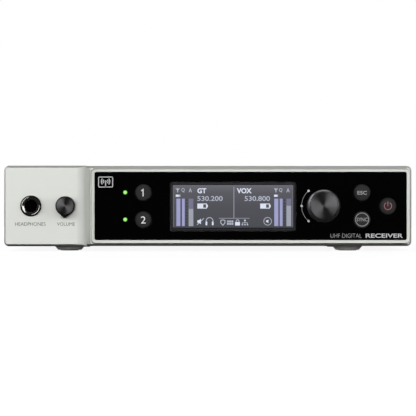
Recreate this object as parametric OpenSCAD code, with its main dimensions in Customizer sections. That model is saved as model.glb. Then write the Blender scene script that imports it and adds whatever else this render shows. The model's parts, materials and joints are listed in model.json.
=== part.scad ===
// Two-channel wireless microphone receiver in a half-width, one-unit rack case.
// Millimetres, +Z up, the front faces -Y, origin at the centre of the base.

/* [Case] */
// Width across the case sides
case_w = 212; // [208:1:216]
// Height of the case above its feet
case_h = 41.8; // [41:0.2:43]
// Length from the front of the volume knob to the ends of the antenna sockets
overall_d = 189; // [187:1:195]
// Thickness of the tray and cover sheet
sheet = 1.2; // [1:0.1:1.4]
// Radius of the long outer corners
corner_r = 2.5; // [2:0.1:3]
// How far the feet stand below the case
foot_h = 2.6; // [2:0.1:3]
// Width of the bevel round the front
bevel = 1.15; // [0.8:0.05:1.3]
// Depth of the bevel round the front
bevel_depth = 4.2; // [1:0.2:4.2]

/* [Front] */
// Step from the headphone block back to the rim of the black panel
block_step = 6.5; // [5:0.5:8]
// X of the right-hand wall of the headphone block
block_x = -63.3; // [-64:0.1:-63]
// Radius of the block's right-hand front edge
block_r = 5; // [3:0.5:6]
// Thickness of the black panel
panel_t = 2; // [1.5:0.1:2.2]
// Radius of the five push buttons
button_r = 4.4; // [4:0.1:4.6]
// Half the height between the upper and lower button rows
row_step = 7.05; // [6.5:0.05:7.5]
// How far a push button travels
button_travel = 0.5; // [0.3:0.1:0.6]

/* [Dials] */
// Radius of the menu dial
dial_r = 8.4; // [8:0.1:9]
// Length of the menu dial
dial_len = 10.5; // [9:0.5:11]
// Radius of the volume knob without its nose
knob_r = 5; // [4.8:0.1:5.4]
// Reach of the volume knob's nose from the axis
nose_reach = 6.3; // [6:0.1:6.6]
// Radius of both control shafts
shaft_r = 3; // [2.9:0.05:3]

/* [Sockets] */
// Bore radius of the 6.35 mm jack sockets
jack_bore_r = 3.25; // [3.2:0.05:3.3]
// Outer radius of the antenna sockets
antenna_r = 4.8; // [4.7:0.05:4.85]
// Inner radius of the XLR shells
xlr_inner_r = 9.7; // [9.5:0.1:9.8]
// Radius of the rack-mount holes in the sides
rack_hole_r = 2.1; // [1.8:0.1:2.2]

/* [Hidden] */
$fn = 64;

eps = 0.01;
half_w = case_w / 2;
z_low = foot_h;
z_high = foot_h + case_h;
z_mid = (z_low + z_high) / 2;
floor_z = z_low + sheet;
ceiling_z = z_high - sheet;
wall_x = half_w - sheet;
split_z = 12;

// Planes from front to back
knob_y = -overall_d / 2;
block_y = knob_y + 8;
block_wall = 2;
rim_y = block_y + block_step;
panel_y = rim_y + 0.3;
panel_back = panel_y + panel_t;
step_y = rim_y + 2.4;
ledge_back = panel_back + 2;
case_y = rim_y + 8;
board_y = case_y + 2;
board_t = 1.6;
socket_y = overall_d / 2;
case_end = socket_y - 10.5;
rear_y = case_end - 0.8;
rear_t = 1.5;
rear_in = rear_y - rear_t;

// Black panel and its rim
panel_x = [-59.2, 102.95];
panel_z = [z_low + 3.2, z_low + 38.6];
rim_w = 1.55;
rim_x = [panel_x[0] - rim_w, panel_x[1] + rim_w];
rim_z = [panel_z[0] - rim_w, panel_z[1] + 1.25];
ledge = 2;

// Display
frame_x = [-20, 45.4];
frame_z = [z_mid - 13.1, z_mid + 12.4];
view_x = [-18.6, 44.1];
view_z = [z_mid - 11.4, z_mid + 10.9];

// Controls, as [x, z]
channel_x = -33.9;
menu_x = 79.8;
buttons = [
    [channel_x, z_mid + row_step], [channel_x, z_mid - row_step],
    [menu_x, z_mid + row_step], [menu_x, z_mid - row_step], [93.2, z_mid]
];
led_x = -43.3;
led_r = 1.15;
dial_pos = [59.5, z_mid];
volume_pos = [-73.7, z_mid];
headphone_pos = [-91.8, z_mid];
nose_angle = 183;

// Rear sockets
antenna_pos = [[-95, 31.5], [95, 31.5]];
xlr_pos = [[-28, z_mid], [19, z_mid]];
output_pos = [[-7, z_mid], [40, z_mid]];
ethernet_x = 57.2;
dc_x = 74;
hook_x = 86;

// Main board
main_z = 8;
main_top = main_z + board_t;
main_x = 99;
main_y = [-48, 79];
standoffs = [[-92, -40], [0, -40], [92, -40], [-92, 68], [-7, 30], [92, 68]];
headphone_board_z = z_mid - 6 - board_t;
headphone_posts = [[-93, -55.5], [-70, -66]];
board_posts = [for (dz = [-16.4, 16.1], x = [-54, 22, 99]) [x, z_mid + dz]];

// Fasteners
feet = [[-73.6, -54], [73.6, -54], [-73.6, 62], [73.6, 62]];
foot_r = 8.6;
foot_base_r = 5.8;
pad_r = 4.75;
side_screws = [[-10, 19], [60, 19]];
flange_screws = [-62, 62];
rack_y = case_y + 12;
rack_pitch = 16;

// ---------- Helpers ----------

module box(x, y, z)
    translate([x[0], y[0], z[0]]) cube([x[1] - x[0], y[1] - y[0], z[1] - z[0]]);

module rod_y(r, y)
    translate([0, y[0], 0]) rotate([-90, 0, 0]) cylinder(r = r, h = y[1] - y[0]);

module cone_y(r0, r1, y)
    translate([0, y[0], 0]) rotate([-90, 0, 0]) cylinder(r1 = r0, r2 = r1, h = y[1] - y[0]);

module tube_y(r_out, r_in, y)
    difference() {
        rod_y(r_out, y);
        rod_y(r_in, [y[0] - 1, y[1] + 1]);
    }

module at(p)
    translate([p[0], 0, p[1]]) children();

// Turns children that face the front so that they face the rear
module to_rear(p)
    translate([p[0], 0, p[1]]) rotate([0, 0, 180]) children();

module rounded_rect(x, y, r) {
    translate([x[0] + r, y[0]]) square([x[1] - x[0] - 2 * r, y[1] - y[0]]);
    translate([x[0], y[0] + r]) square([x[1] - x[0], y[1] - y[0] - 2 * r]);
    for (cx = [x[0] + r, x[1] - r], cy = [y[0] + r, y[1] - r])
        translate([cx, cy]) circle(r);
}

// Prism along Y of a rounded rectangle drawn in X and Z
module slab(x, z, r, y)
    translate([0, y[1], 0]) rotate([90, 0, 0])
        linear_extrude(y[1] - y[0]) rounded_rect(x, z, r);

// Slab whose front edge is cut back by the bevel
module bevelled_slab(x, z, r, y)
    hull() {
        slab([x[0] + bevel, x[1] - bevel], [z[0] + bevel, z[1] - bevel], max(r - bevel, 0.6),
            [y[0], y[0] + 0.1], $fn = 32);
        slab(x, z, r, [y[0] + bevel_depth, y[1]], $fn = 32);
    }

// ---------- Case ----------

module case_section()
    difference() {
        rounded_rect([-half_w, half_w], [z_low, z_high], corner_r);
        rounded_rect([-wall_x, wall_x], [floor_z, ceiling_z], corner_r - sheet);
    }

// Length of case between two heights
module case_shell(z)
    translate([0, case_end, 0]) rotate([90, 0, 0]) linear_extrude(case_end - case_y)
        intersection() {
            case_section();
            translate([-half_w - 1, z[0]]) square([case_w + 2, z[1] - z[0]]);
        }

// Countersunk screw hole through the sheet; the axis is +Z and the head sits at z = 0
module countersink(r_head, r_hole, depth) {
    translate([0, 0, -sheet]) cylinder(r1 = r_hole, r2 = r_head, h = sheet + eps);
    translate([0, 0, -depth]) cylinder(r = r_hole, h = depth);
}

module at_side_screws()
    for (side = [-1, 1], p = side_screws)
        translate([side * half_w, p[0], p[1]]) rotate([0, side * 90, 0]) children();

module at_top_screws()
    for (x = flange_screws)
        translate([x, rear_in - 4, z_high]) children();

module at_bottom_screws()
    for (x = flange_screws)
        translate([x, rear_in - 4, z_low]) rotate([180, 0, 0]) children();

// Pressed foot that flares up into the floor of the tray, with a round lower edge
module foot() {
    edge_r = 0.9;
    edge = [for (a = [0:15:60]) [foot_base_r + edge_r * sin(a), 0.3 + edge_r * (1 - cos(a))]];
    rotate_extrude()
        polygon(concat([[0, 0.3]], edge, [[foot_r, z_low + 0.4], [0, z_low + 0.4]]));
}

module base_tray() {
    tab_top = 23.5;
    tab_x = wall_x - 0.65;
    foot_floor = 1.5;
    color("#d9dbd4")
    difference() {
        union() {
            case_shell([z_low - 1, split_z]);
            for (p = feet)
                translate([p[0], p[1], 0]) foot();
            for (side = [-1, 1], p = side_screws)
                box([side * tab_x - 0.6, side * tab_x + 0.6], [p[0] - 7, p[0] + 7],
                    [floor_z - 0.5, tab_top]);
        }
        for (p = feet) {
            translate([p[0], p[1], foot_floor])
                cylinder(r1 = foot_base_r + 0.3, r2 = foot_r - 1.1, h = floor_z - foot_floor + eps);
            translate([p[0], p[1], -1]) cylinder(r = pad_r + 0.05, h = foot_floor);
        }
        at_side_screws() countersink(2.8, 1.3, 4);
        at_bottom_screws() countersink(2.8, 1.4, 3);
    }
}

module foot_pads()
    color("#2b2b2b")
    for (p = feet)
        translate([p[0], p[1], 0]) cylinder(r = pad_r, h = 0.5);

module top_cover()
    color("#dcded8")
    difference() {
        case_shell([split_z + 0.1, z_high + 1]);
        at_side_screws() countersink(2.8, 1.4, 3);
        at_top_screws() countersink(2.8, 1.4, 3);
        rack_holes();
    }

module rack_holes()
    for (side = [-1, 1], dz = [-0.5, 0.5] * rack_pitch)
        translate([side * half_w, rack_y, z_mid + dz]) rotate([0, 90, 0])
            translate([0, 0, -9]) cylinder(r = rack_hole_r, h = 18);

module rack_inserts()
    color("#b8b8b6")
    difference() {
        for (side = [-1, 1])
            box([side * (wall_x - 3) - 3, side * (wall_x - 3) + 3], [rack_y - 7, rack_y + 7],
                [z_mid - rack_pitch / 2 - 3.4, z_mid + rack_pitch / 2 + 5]);
        rack_holes();
    }

// Screw with a flat countersunk head; the axis is +Z and the head's top is at z = 0
module countersunk_screw(length) {
    difference() {
        translate([0, 0, -1.25]) cylinder(r1 = 1.3, r2 = 2.65, h = 1.25);
        for (a = [0, 90])
            rotate([0, 0, a]) translate([-1.5, -0.25, -0.7]) cube([3, 0.5, 1]);
    }
    translate([0, 0, -length]) cylinder(r = 1.2, h = length - 1.2);
}

module case_screws()
    color("#3a3a3a") {
        at_side_screws() countersunk_screw(3.4);
        at_top_screws() countersunk_screw(2.8);
        at_bottom_screws() countersunk_screw(2.8);
    }

// Outline of the headphone block seen from above, with its round edge towards the panel
module block_plan() {
    translate([-half_w, block_y]) square([block_x - block_r + half_w, case_y - block_y]);
    translate([-half_w, block_y + block_r]) square([block_x + half_w, case_y - block_y - block_r]);
    translate([block_x - block_r, block_y + block_r]) circle(block_r);
}

module front_bezel()
    color("#dfe1dc")
    difference() {
        union() {
            intersection() {
                bevelled_slab([-half_w, half_w], [z_low, z_high], corner_r, [block_y, case_y]);
                translate([0, 0, -1]) linear_extrude(z_high + 2) block_plan();
            }
            bevelled_slab([block_x - 8, half_w], [z_low, z_high], corner_r, [step_y, case_y]);
            bezel_rim();
            bezel_tongue();
            for (p = board_posts)
                at(p) rod_y(2.1, [ledge_back - 0.5, board_y]);
        }
        // Pocket and window for the black panel
        slab([panel_x[0] - 0.1, panel_x[1] + 0.1], [panel_z[0] - 0.1, panel_z[1] + 0.1], 1.1,
            [rim_y - 1, panel_back]);
        difference() {
            slab([panel_x[0] + ledge, panel_x[1] - ledge], [panel_z[0] + ledge, panel_z[1] - ledge], 1,
                [rim_y, case_y + 1]);
            for (p = board_posts)
                at(p) rod_y(2.1, [ledge_back, board_y]);
        }
        // Hollow of the headphone block, then the hollow behind the whole bezel
        box([-half_w + block_wall, block_x - block_wall], [block_y + block_wall, case_y + 1],
            [z_low + block_wall, z_high - block_wall]);
        difference() {
            box([-half_w + block_wall, half_w - block_wall], [ledge_back, case_y + 1],
                [z_low + block_wall, z_high - block_wall]);
            for (p = board_posts)
                at(p) rod_y(2.1, [ledge_back - 1, board_y]);
        }
        for (p = board_posts)
            at(p) rod_y(0.95, [ledge_back + 0.5, board_y + 1]);
        at(headphone_pos) rod_y(4.75, [block_y - 1, block_y + 4]);
        at(volume_pos) rod_y(shaft_r + 0.3, [block_y - 1, block_y + 4]);
    }

// Raised rim that frames the black panel
module bezel_rim()
    hull() {
        slab(rim_x, rim_z, 2.2, [rim_y, rim_y + 0.4], $fn = 32);
        slab([rim_x[0] - 0.6, half_w - bevel - 0.05], [z_low + bevel, z_high - bevel], 2.4,
            [step_y, step_y + 1], $fn = 32);
    }

// Lip on the back of the bezel that centres it in the case
module bezel_tongue()
    difference() {
        slab([-wall_x + 0.1, wall_x - 0.1], [floor_z + 0.1, ceiling_z - 0.1], 1.2,
            [case_y - 1, case_y + 2.5]);
        slab([-wall_x + 1.1, wall_x - 1.1], [floor_z + 1.1, ceiling_z - 1.1], 0.5,
            [case_y - 2, case_y + 4]);
    }

module rear_panel() {
    flange_d = 7.5;
    color("#d4d6d0")
    difference() {
        union() {
            slab([-wall_x + 0.1, wall_x - 0.1], [floor_z + 0.05, ceiling_z - 0.05], 1.1,
                [rear_in, rear_y]);
            for (z = [floor_z + 0.05, ceiling_z - 0.05 - sheet])
                box([-100, 100], [rear_in - flange_d, rear_in + 0.5], [z, z + sheet]);
        }
        for (p = antenna_pos)
            at(p) rod_y(antenna_r + 0.05, [rear_in - 1, rear_y + 1]);
        for (p = xlr_pos) {
            at(p) rod_y(xlr_inner_r + 2, [rear_in - 1, rear_y + 1]);
            at_xlr_screws(p) rod_y(1.3, [rear_in - 1, rear_y + 1]);
        }
        for (p = output_pos)
            at(p) rod_y(4.75, [rear_in - 1, rear_y + 1]);
        box([ethernet_x - 8.4, ethernet_x + 8.4], [rear_in - 1, rear_y + 1],
            [main_top - 0.1, main_top + 13.8]);
        box([dc_x - 4.7, dc_x + 4.7], [rear_in - 1, rear_y + 1], [main_top - 0.1, main_top + 11.2]);
        for (x = flange_screws, z = [0, z_high - 3])
            translate([x, rear_in - 4, z]) cylinder(r = 1.3, h = 8);
    }
}

// ---------- Black panel and display ----------

module black_panel()
    color("#0b0b0c")
    difference() {
        slab(panel_x, panel_z, 1, [panel_y, panel_back]);
        slab([frame_x[0] - 0.1, frame_x[1] + 0.1], [frame_z[0] - 0.1, frame_z[1] + 0.1], 1.1,
            [panel_y - 1, panel_back + 1]);
        for (p = buttons)
            at(p) rod_y(button_r + 0.15, [panel_y - 1, panel_back + 1]);
        for (side = [-1, 1])
            at([led_x, z_mid + side * row_step]) rod_y(led_r + 0.05, [panel_y - 1, panel_back + 1]);
        at(dial_pos) rod_y(3.9, [panel_y - 1, panel_back + 1]);
    }

module display_frame()
    color("#26272a")
    difference() {
        slab(frame_x, frame_z, 1, [panel_y + 0.2, panel_back]);
        slab(view_x, view_z, 0.3, [panel_y - 1, panel_back + 1]);
    }

module display_glass()
    color("#55565c")
    slab([view_x[0] + 0.05, view_x[1] - 0.05], [view_z[0] + 0.05, view_z[1] - 0.05], 0.3,
        [panel_y + 1, panel_back + 0.7]);

module display_backlight()
    color("#e8e8e4")
    difference() {
        box([-21, 46.5], [panel_back + 0.7, board_y - 1], [frame_z[0] - 0.9, frame_z[1] + 1.2]);
        box([-22, 2], [board_y - 2, board_y], [7, 11]);
    }

module display_flex()
    color("#c9862b")
    translate([5, 0, 0]) rotate([90, 0, 90]) linear_extrude(14)
        translate([board_y, frame_z[0] - 0.9])
            polygon([[-4, 0], [-4, -0.2], [-0.3, -0.2], [-0.3, -1.5], [0, -1.5], [0, 0]]);

// Push button: domed cap, retaining flange and stem
module push_button(p)
    color("#333335")
    at(p) {
        cone_y(button_r - 0.25, button_r, [panel_y - 0.5, panel_y - 0.25]);
        rod_y(button_r, [panel_y - 0.25, panel_back + 0.6]);
        rod_y(button_r + 0.9, [panel_back + 0.15, panel_back + 0.95]);
        rod_y(1.5, [panel_back + 0.9, board_y - 3.1]);
    }

// ---------- Menu dial ----------

module menu_dial() {
    back = panel_y - 1;
    front = back - dial_len + 0.4;
    color("#4a4a4c")
    at(dial_pos) difference() {
        union() {
            rod_y(dial_r, [front + 1.8, back]);
            cone_y(dial_r - 0.7, dial_r, [front, front + 1.8]);
        }
        rod_y(7.3, [front - 1, front + 0.8]);
        rod_y(4.3, [back - 2, back + 1]);
        rod_y(shaft_r + 0.02, [back - 8, back + 1]);
    }
}

module menu_dial_cap() {
    front = panel_y - 1 - dial_len;
    color("#6b6b6d")
    at(dial_pos) {
        cone_y(6.85, 7, [front, front + 0.15]);
        rod_y(7, [front + 0.15, front + 1.2]);
    }
}

module encoder_shaft()
    color("#b9b9b9")
    at(dial_pos) rod_y(shaft_r, [panel_y - 8.8, board_y - 3.2]);

module encoder_plunger()
    color("#e0ddd2")
    at(dial_pos) rod_y(2.6, [board_y - 3.15, board_y - 1.8]);

module encoder_body()
    color("#8d8f92")
    difference() {
        union() {
            box([dial_pos[0] - 6, dial_pos[0] + 6], [board_y - 6.5, board_y], [z_mid - 6, z_mid + 6]);
            at(dial_pos) rod_y(3.5, [panel_y - 1.8, board_y - 6]);
        }
        at(dial_pos) rod_y(shaft_r + 0.05, [panel_y - 3, board_y - 5]);
        at(dial_pos) rod_y(3.4, [board_y - 5.5, board_y - 1]);
    }

// ---------- Headphone block ----------

// Round knob outline with a nose that points along -Y
module nosed_circle(r, reach) {
    tip_r = 0.8;
    d = reach - tip_r;
    a = acos((r - tip_r) / d);
    side = r - 0.1;
    tip = [for (t = [-a:a / 5:a + 0.1]) [tip_r * sin(t), -d - tip_r * cos(t)]];
    circle(r);
    polygon(concat([[0, 1], [-side * sin(a), -side * cos(a)]], tip, [[side * sin(a), -side * cos(a)]]));
}

module volume_knob()
    color("#1d1d1e")
    at(volume_pos) difference() {
        translate([0, block_y - 0.5, 0]) rotate([90, 0, 0]) linear_extrude(7)
            rotate([0, 0, 180 - nose_angle]) nosed_circle(knob_r, nose_reach);
        rod_y(4.55, [knob_y - 1, knob_y + 1]);
        rod_y(shaft_r + 0.02, [knob_y + 1.9, block_y]);
    }

module volume_knob_cap()
    color("#4c4c4e")
    at(volume_pos) {
        cone_y(4.25, 4.4, [knob_y, knob_y + 0.15]);
        rod_y(4.4, [knob_y + 0.15, knob_y + 1]);
    }

module volume_shaft()
    color("#b9b9b9")
    at(volume_pos) rod_y(shaft_r, [knob_y + 2, block_y + 7]);

module volume_potentiometer()
    color("#54616b")
    difference() {
        box([volume_pos[0] - 5.5, volume_pos[0] + 5.5], [block_y + block_wall, block_y + 9],
            [z_mid - 6, z_mid + 6]);
        at(volume_pos) rod_y(shaft_r + 0.05, [block_y, block_y + 7.5]);
    }

// Threaded metal nose of a jack socket, with a polished cone round the bore; faces -Y
module jack_bushing(face_y, back_y) {
    difference() {
        rod_y(4.7, [face_y - 1.5, back_y]);
        cone_y(4.45, jack_bore_r, [face_y - 1.5 - eps, face_y - 0.1]);
        rod_y(jack_bore_r, [face_y - 2, back_y + 1]);
    }
}

// Moulded jack body behind the wall; faces -Y
module jack_body(front_y, length)
    difference() {
        box([-6, 6], [front_y, front_y + length], [-6, 6]);
        rod_y(jack_bore_r, [front_y - 1, front_y + length - 2.5]);
        box([-1.2, 1.2], [front_y + 4, front_y + 13], [2, 5]);
        box([-1.2, 1.2], [front_y + 14, front_y + 21], [-5, -2]);
    }

// Tip and sleeve springs of one jack; faces -Y
module jack_springs(front_y) {
    box([-0.9, 0.9], [front_y + 4.5, front_y + 12.5], [jack_bore_r + 0.15, jack_bore_r + 0.45]);
    box([-0.9, 0.9], [front_y + 14.5, front_y + 20.5], [-jack_bore_r - 0.45, -jack_bore_r - 0.15]);
}

module jack_contacts()
    color("#c9c4b0") {
        at(headphone_pos) jack_springs(block_y + block_wall);
        for (p = output_pos)
            to_rear(p) jack_springs(-rear_in);
    }

module headphone_bushing()
    color("#c8c9c9")
    at(headphone_pos) jack_bushing(block_y, block_y + block_wall);

module headphone_nut()
    color("#141414")
    at(headphone_pos) tube_y(5.45, 4.72, [block_y - 1.1, block_y]);

module headphone_jack()
    color("#1a1a1a")
    at(headphone_pos) jack_body(block_y + block_wall, 26);

module headphone_board()
    color("#1f5a3a")
    difference() {
        box([-98.4, -66.2], [block_y + 3.5, -50], [headphone_board_z, headphone_board_z + board_t]);
        for (p = headphone_posts)
            translate([p[0], p[1], 0]) cylinder(r = 1.5, h = z_high);
    }

// ---------- Boards and electronics ----------

module front_board()
    color("#1f5a3a")
    difference() {
        box([-59, 102], [board_y, board_y + board_t], [5.5, 41]);
        for (p = board_posts)
            at(p) rod_y(1.1, [board_y - 1, board_y + 3]);
    }

module front_board_screws()
    color("#c0c0bc")
    for (p = board_posts)
        at(p) {
            rod_y(0.9, [board_y - 3.5, board_y + board_t + 0.1]);
            rod_y(1.9, [board_y + board_t, board_y + board_t + 1.3]);
        }

module tact_switches()
    color("#3d3f42")
    for (p = buttons)
        at(p) difference() {
            box([-3, 3], [board_y - 3.4, board_y], [-3, 3]);
            rod_y(1.8, [board_y - 4, board_y - 2.3]);
        }

module status_leds()
    color("#d8f5c8")
    for (side = [-1, 1])
        at([led_x, z_mid + side * row_step]) box([-1, 1], [board_y - 1, board_y], [-0.6, 0.6]);

module light_pipes()
    color("#8dff55")
    for (side = [-1, 1])
        at([led_x, z_mid + side * row_step]) {
            rod_y(led_r, [panel_y - 0.05, board_y - 1.3]);
            rod_y(1.7, [panel_back, panel_back + 1]);
        }

module main_board()
    color("#1b5236")
    difference() {
        box([-main_x, main_x], main_y, [main_z, main_top]);
        for (p = standoffs)
            translate([p[0], p[1], 0]) cylinder(r = 1.6, h = 20);
    }

module board_standoffs()
    color("#c9b878") {
        for (p = standoffs)
            translate([p[0], p[1], floor_z]) difference() {
                cylinder(r = 3, h = main_z - floor_z);
                translate([0, 0, 0.8]) cylinder(r = 1.45, h = 10);
            }
        for (p = headphone_posts)
            translate([p[0], p[1], floor_z]) difference() {
                cylinder(r = 2.6, h = headphone_board_z - floor_z);
                translate([0, 0, 4]) cylinder(r = 1.45, h = 20);
            }
    }

// Pan-head screw whose head stands on a board at height z
module board_screw(z, depth) {
    translate([0, 0, z]) cylinder(r = 2.7, h = 1.9);
    translate([0, 0, z - depth]) cylinder(r = 1.4, h = depth + 0.1);
}

module board_screws()
    color("#c0c0bc") {
        for (p = standoffs)
            translate([p[0], p[1], 0]) board_screw(main_top, 5);
        for (p = headphone_posts)
            translate([p[0], p[1], 0]) board_screw(headphone_board_z + board_t, 6);
    }

// Processor, memory, converters and the encapsulated power module
module chip_packages()
    color("#1c1c1e") {
        box([-38, -18], [2, 22], [main_top, main_top + 1.8]);
        box([14, 30], [0, 16], [main_top, main_top + 1.4]);
        box([38, 50], [-22, -8], [main_top, main_top + 1.2]);
        box([-66, -56], [-24, -10], [main_top, main_top + 1.2]);
        box([58, 80], [-36, -18], [main_top, main_top + 12]);
    }

module capacitors()
    color("#2f3d6b")
    for (x = [56, 66, 76], y = [-6, 6])
        translate([x, y, main_top]) cylinder(r = 4, h = 10);

// Folded shield cans, open below, over the two receiver sections
module rf_shields()
    color("#c4c6c4")
    for (side = [-1, 1])
        difference() {
            box([side * 77 - 19, side * 77 + 19], [22, 58], [main_top, main_top + 8]);
            box([side * 77 - 18.6, side * 77 + 18.6], [22.4, 57.6], [main_top - 1, main_top + 7.6]);
        }

module board_connectors()
    color("#e6e0cf") {
        box([19, 41], [board_y + board_t, board_y + board_t + 2.5], [11.5, 14.5]);
        box([19, 41], [-46, -42], [main_top, main_top + 1.5]);
        box([-86, -76], [-54, -51], [headphone_board_z + board_t, headphone_board_z + board_t + 2]);
        box([-86, -76], [-46, -42], [main_top, main_top + 1.5]);
    }

// Flat cable extruded along X, from a path drawn in Y and Z
module flat_cable(x, path)
    translate([x[0], 0, 0]) rotate([90, 0, 90]) linear_extrude(x[1] - x[0])
        polygon(concat(path, [for (i = [len(path) - 1:-1:0]) path[i] + [0.15, 0.3]]));

module ribbon_cables()
    color("#e8e8ea") {
        flat_cable([20, 40], [[board_y + board_t + 2.5, 12.7], [-63, 12.4], [-60, 11], [-57, 10],
            [-54, 9.8], [-46.15, 10.2]]);
        flat_cable([-85, -77], [[-51, headphone_board_z + board_t + 0.8],
            [-49, headphone_board_z + board_t], [-47.8, 14], [-47, 11.4], [-46.15, 10.2]]);
    }

// Coaxial lead from each antenna socket's tail down to its shield can
module coax_leads() {
    lead_r = 0.9;
    bend = 6;
    down_y = 52;
    top = antenna_pos[1][1];
    color("#8a5a2a")
    for (side = [-1, 1])
        translate([side * antenna_pos[1][0], 0, 0]) {
            translate([0, 0, top]) rod_y(lead_r, [down_y + bend, rear_in - 8]);
            translate([0, down_y + bend, top - bend]) rotate([0, -90, 0])
                rotate_extrude(angle = 90) translate([bend, 0]) circle(lead_r);
            translate([0, down_y, main_top + 10]) cylinder(r = lead_r, h = top - bend - main_top - 10);
            translate([0, down_y, main_top + 8]) cylinder(r = 2, h = 2);
        }
}

// ---------- Rear sockets ----------

module antenna_sockets()
    color("#c9c3ad")
    for (p = antenna_pos)
        at(p) difference() {
            union() {
                rod_y(7, [rear_in - 2, rear_in]);
                rod_y(5, [rear_in - 6, rear_in - 2]);
                rod_y(2.2, [rear_in - 8, rear_in - 6]);
                rod_y(antenna_r - 0.2, [rear_in - 1, socket_y - 3]);
                rod_y(antenna_r, [socket_y - 3.3, socket_y]);
                translate([-5.7, socket_y - 4.7, 0]) rotate([0, 90, 0]) cylinder(r = 1, h = 11.4);
            }
            rod_y(antenna_r - 0.7, [rear_y + 1.5, socket_y + 1]);
        }

module antenna_nuts()
    color("#b9b39d")
    for (p = antenna_pos)
        at(p) {
            tube_y(7.6, antenna_r - 0.15, [rear_y, rear_y + 0.5]);
            difference() {
                translate([0, rear_y + 0.5, 0]) rotate([-90, 30, 0]) cylinder(r = 7.2, h = 2.4, $fn = 6);
                rod_y(antenna_r - 0.15, [rear_y, rear_y + 4]);
            }
        }

module antenna_insulators()
    color("#efeee8")
    for (p = antenna_pos)
        at(p) {
            tube_y(antenna_r - 0.75, 1.1, [rear_y + 1.5, rear_y + 2.5]);
            tube_y(2.4, 1.1, [rear_y + 1.5, socket_y - 2.5]);
        }

module at_xlr_screws(p)
    for (s = [-1, 1])
        at([p[0] + s * 9.5, p[1] - s * 12]) children();

module xlr_shells()
    color("#25262a")
    for (p = xlr_pos)
        difference() {
            union() {
                slab([p[0] - 13, p[0] + 13], [p[1] - 15.5, p[1] + 15.5], 2, [rear_y, rear_y + 2]);
                at(p) rod_y(xlr_inner_r + 1.9, [rear_y - 15, rear_y + 3.2]);
            }
            at(p) rod_y(xlr_inner_r, [rear_y - 12.5, rear_y + 4]);
            at(p) rod_y(4, [rear_y - 16, rear_y]);
            at(p) box([-1.8, 1.8], [rear_y - 6, rear_y + 4], [xlr_inner_r - 1, xlr_inner_r + 1.2]);
            at_xlr_screws(p) rod_y(1.6, [rear_y - 1, rear_y + 3]);
        }

module socket_screws()
    color("#2a2a2c")
    for (p = xlr_pos)
        at_xlr_screws(p) {
            rod_y(1.2, [rear_in - 2, rear_y + 2.1]);
            cone_y(2.6, 2.1, [rear_y + 2, rear_y + 3.2]);
        }

module xlr_inserts()
    color("#17181a")
    for (p = xlr_pos)
        at(p) {
            difference() {
                rod_y(xlr_inner_r - 0.05, [rear_y - 12.5, rear_y - 10]);
                for (q = xlr_pin_places)
                    at(q) rod_y(1.25, [rear_y - 14, rear_y - 9]);
            }
        }

xlr_pin_places = [[-3.8, 1.4], [3.8, 1.4], [0, -3.6]];

// XLR pins and the sleeve contacts in the middle of the antenna sockets
module socket_pins()
    color("#d9cfa0") {
        for (p = xlr_pos, q = xlr_pin_places)
            at(p + q) {
                rod_y(1.2, [rear_y - 12.5, rear_y - 1.6]);
                cone_y(1.2, 0.6, [rear_y - 1.6, rear_y - 0.9]);
            }
        for (p = antenna_pos)
            at(p) difference() {
                rod_y(1.05, [rear_y + 1.5, socket_y - 2.5]);
                rod_y(0.6, [rear_y + 4, socket_y]);
            }
    }

module output_jacks()
    color("#1a1a1a")
    for (p = output_pos)
        to_rear(p) jack_body(-rear_in, 26);

module output_jack_bushings()
    color("#c8c9c9")
    for (p = output_pos)
        to_rear(p) jack_bushing(-rear_y - 1.2, -rear_in);

module output_jack_nuts()
    color("#141414")
    for (p = output_pos)
        at(p) difference() {
            translate([0, rear_y, 0]) rotate([-90, 0, 0]) cylinder(r = 7.4, h = 2.2, $fn = 6);
            rod_y(4.72, [rear_y - 1, rear_y + 4]);
        }

module ethernet_socket()
    color("#bfc1c0")
    difference() {
        box([ethernet_x - 8.2, ethernet_x + 8.2], [rear_y - 21, rear_y + 0.8],
            [main_top, main_top + 13.6]);
        box([ethernet_x - 5.9, ethernet_x + 5.9], [rear_y - 14, rear_y + 2],
            [main_top + 3.6, main_top + 11.6]);
        box([ethernet_x - 3, ethernet_x + 3], [rear_y - 10, rear_y + 2], [main_top + 1.6, main_top + 4]);
    }

module ethernet_contacts()
    color("#d9bf62")
    for (i = [0:7])
        translate([ethernet_x + (i - 3.5) * 1.02, 0, main_top])
            box([-0.2, 0.2], [rear_y - 14, rear_y - 4], [11.25, 11.6]);

module dc_inlet()
    color("#161616")
    difference() {
        box([dc_x - 4.5, dc_x + 4.5], [rear_y - 13.2, rear_y + 0.6], [main_top, main_top + 11]);
        translate([dc_x, 0, main_top + 5.5]) rod_y(3.2, [rear_y - 9.5, rear_y + 2]);
    }

module dc_pin()
    color("#c9c9c5")
    translate([dc_x, 0, main_top + 5.5]) rod_y(1, [rear_y - 9.5, rear_y - 0.5]);

// Open hook beside the inlet that takes the supply lead's loop
module cable_hook()
    color("#1b1b1c")
    difference() {
        slab([hook_x - 4.6, hook_x + 4.6], [8.5, 20.5], 1, [rear_y, rear_y + 7.5]);
        box([hook_x - 2.4, hook_x + 2.4], [rear_y + 1.6, rear_y + 9], [8, 21]);
    }

// ---------- Output ----------

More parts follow.
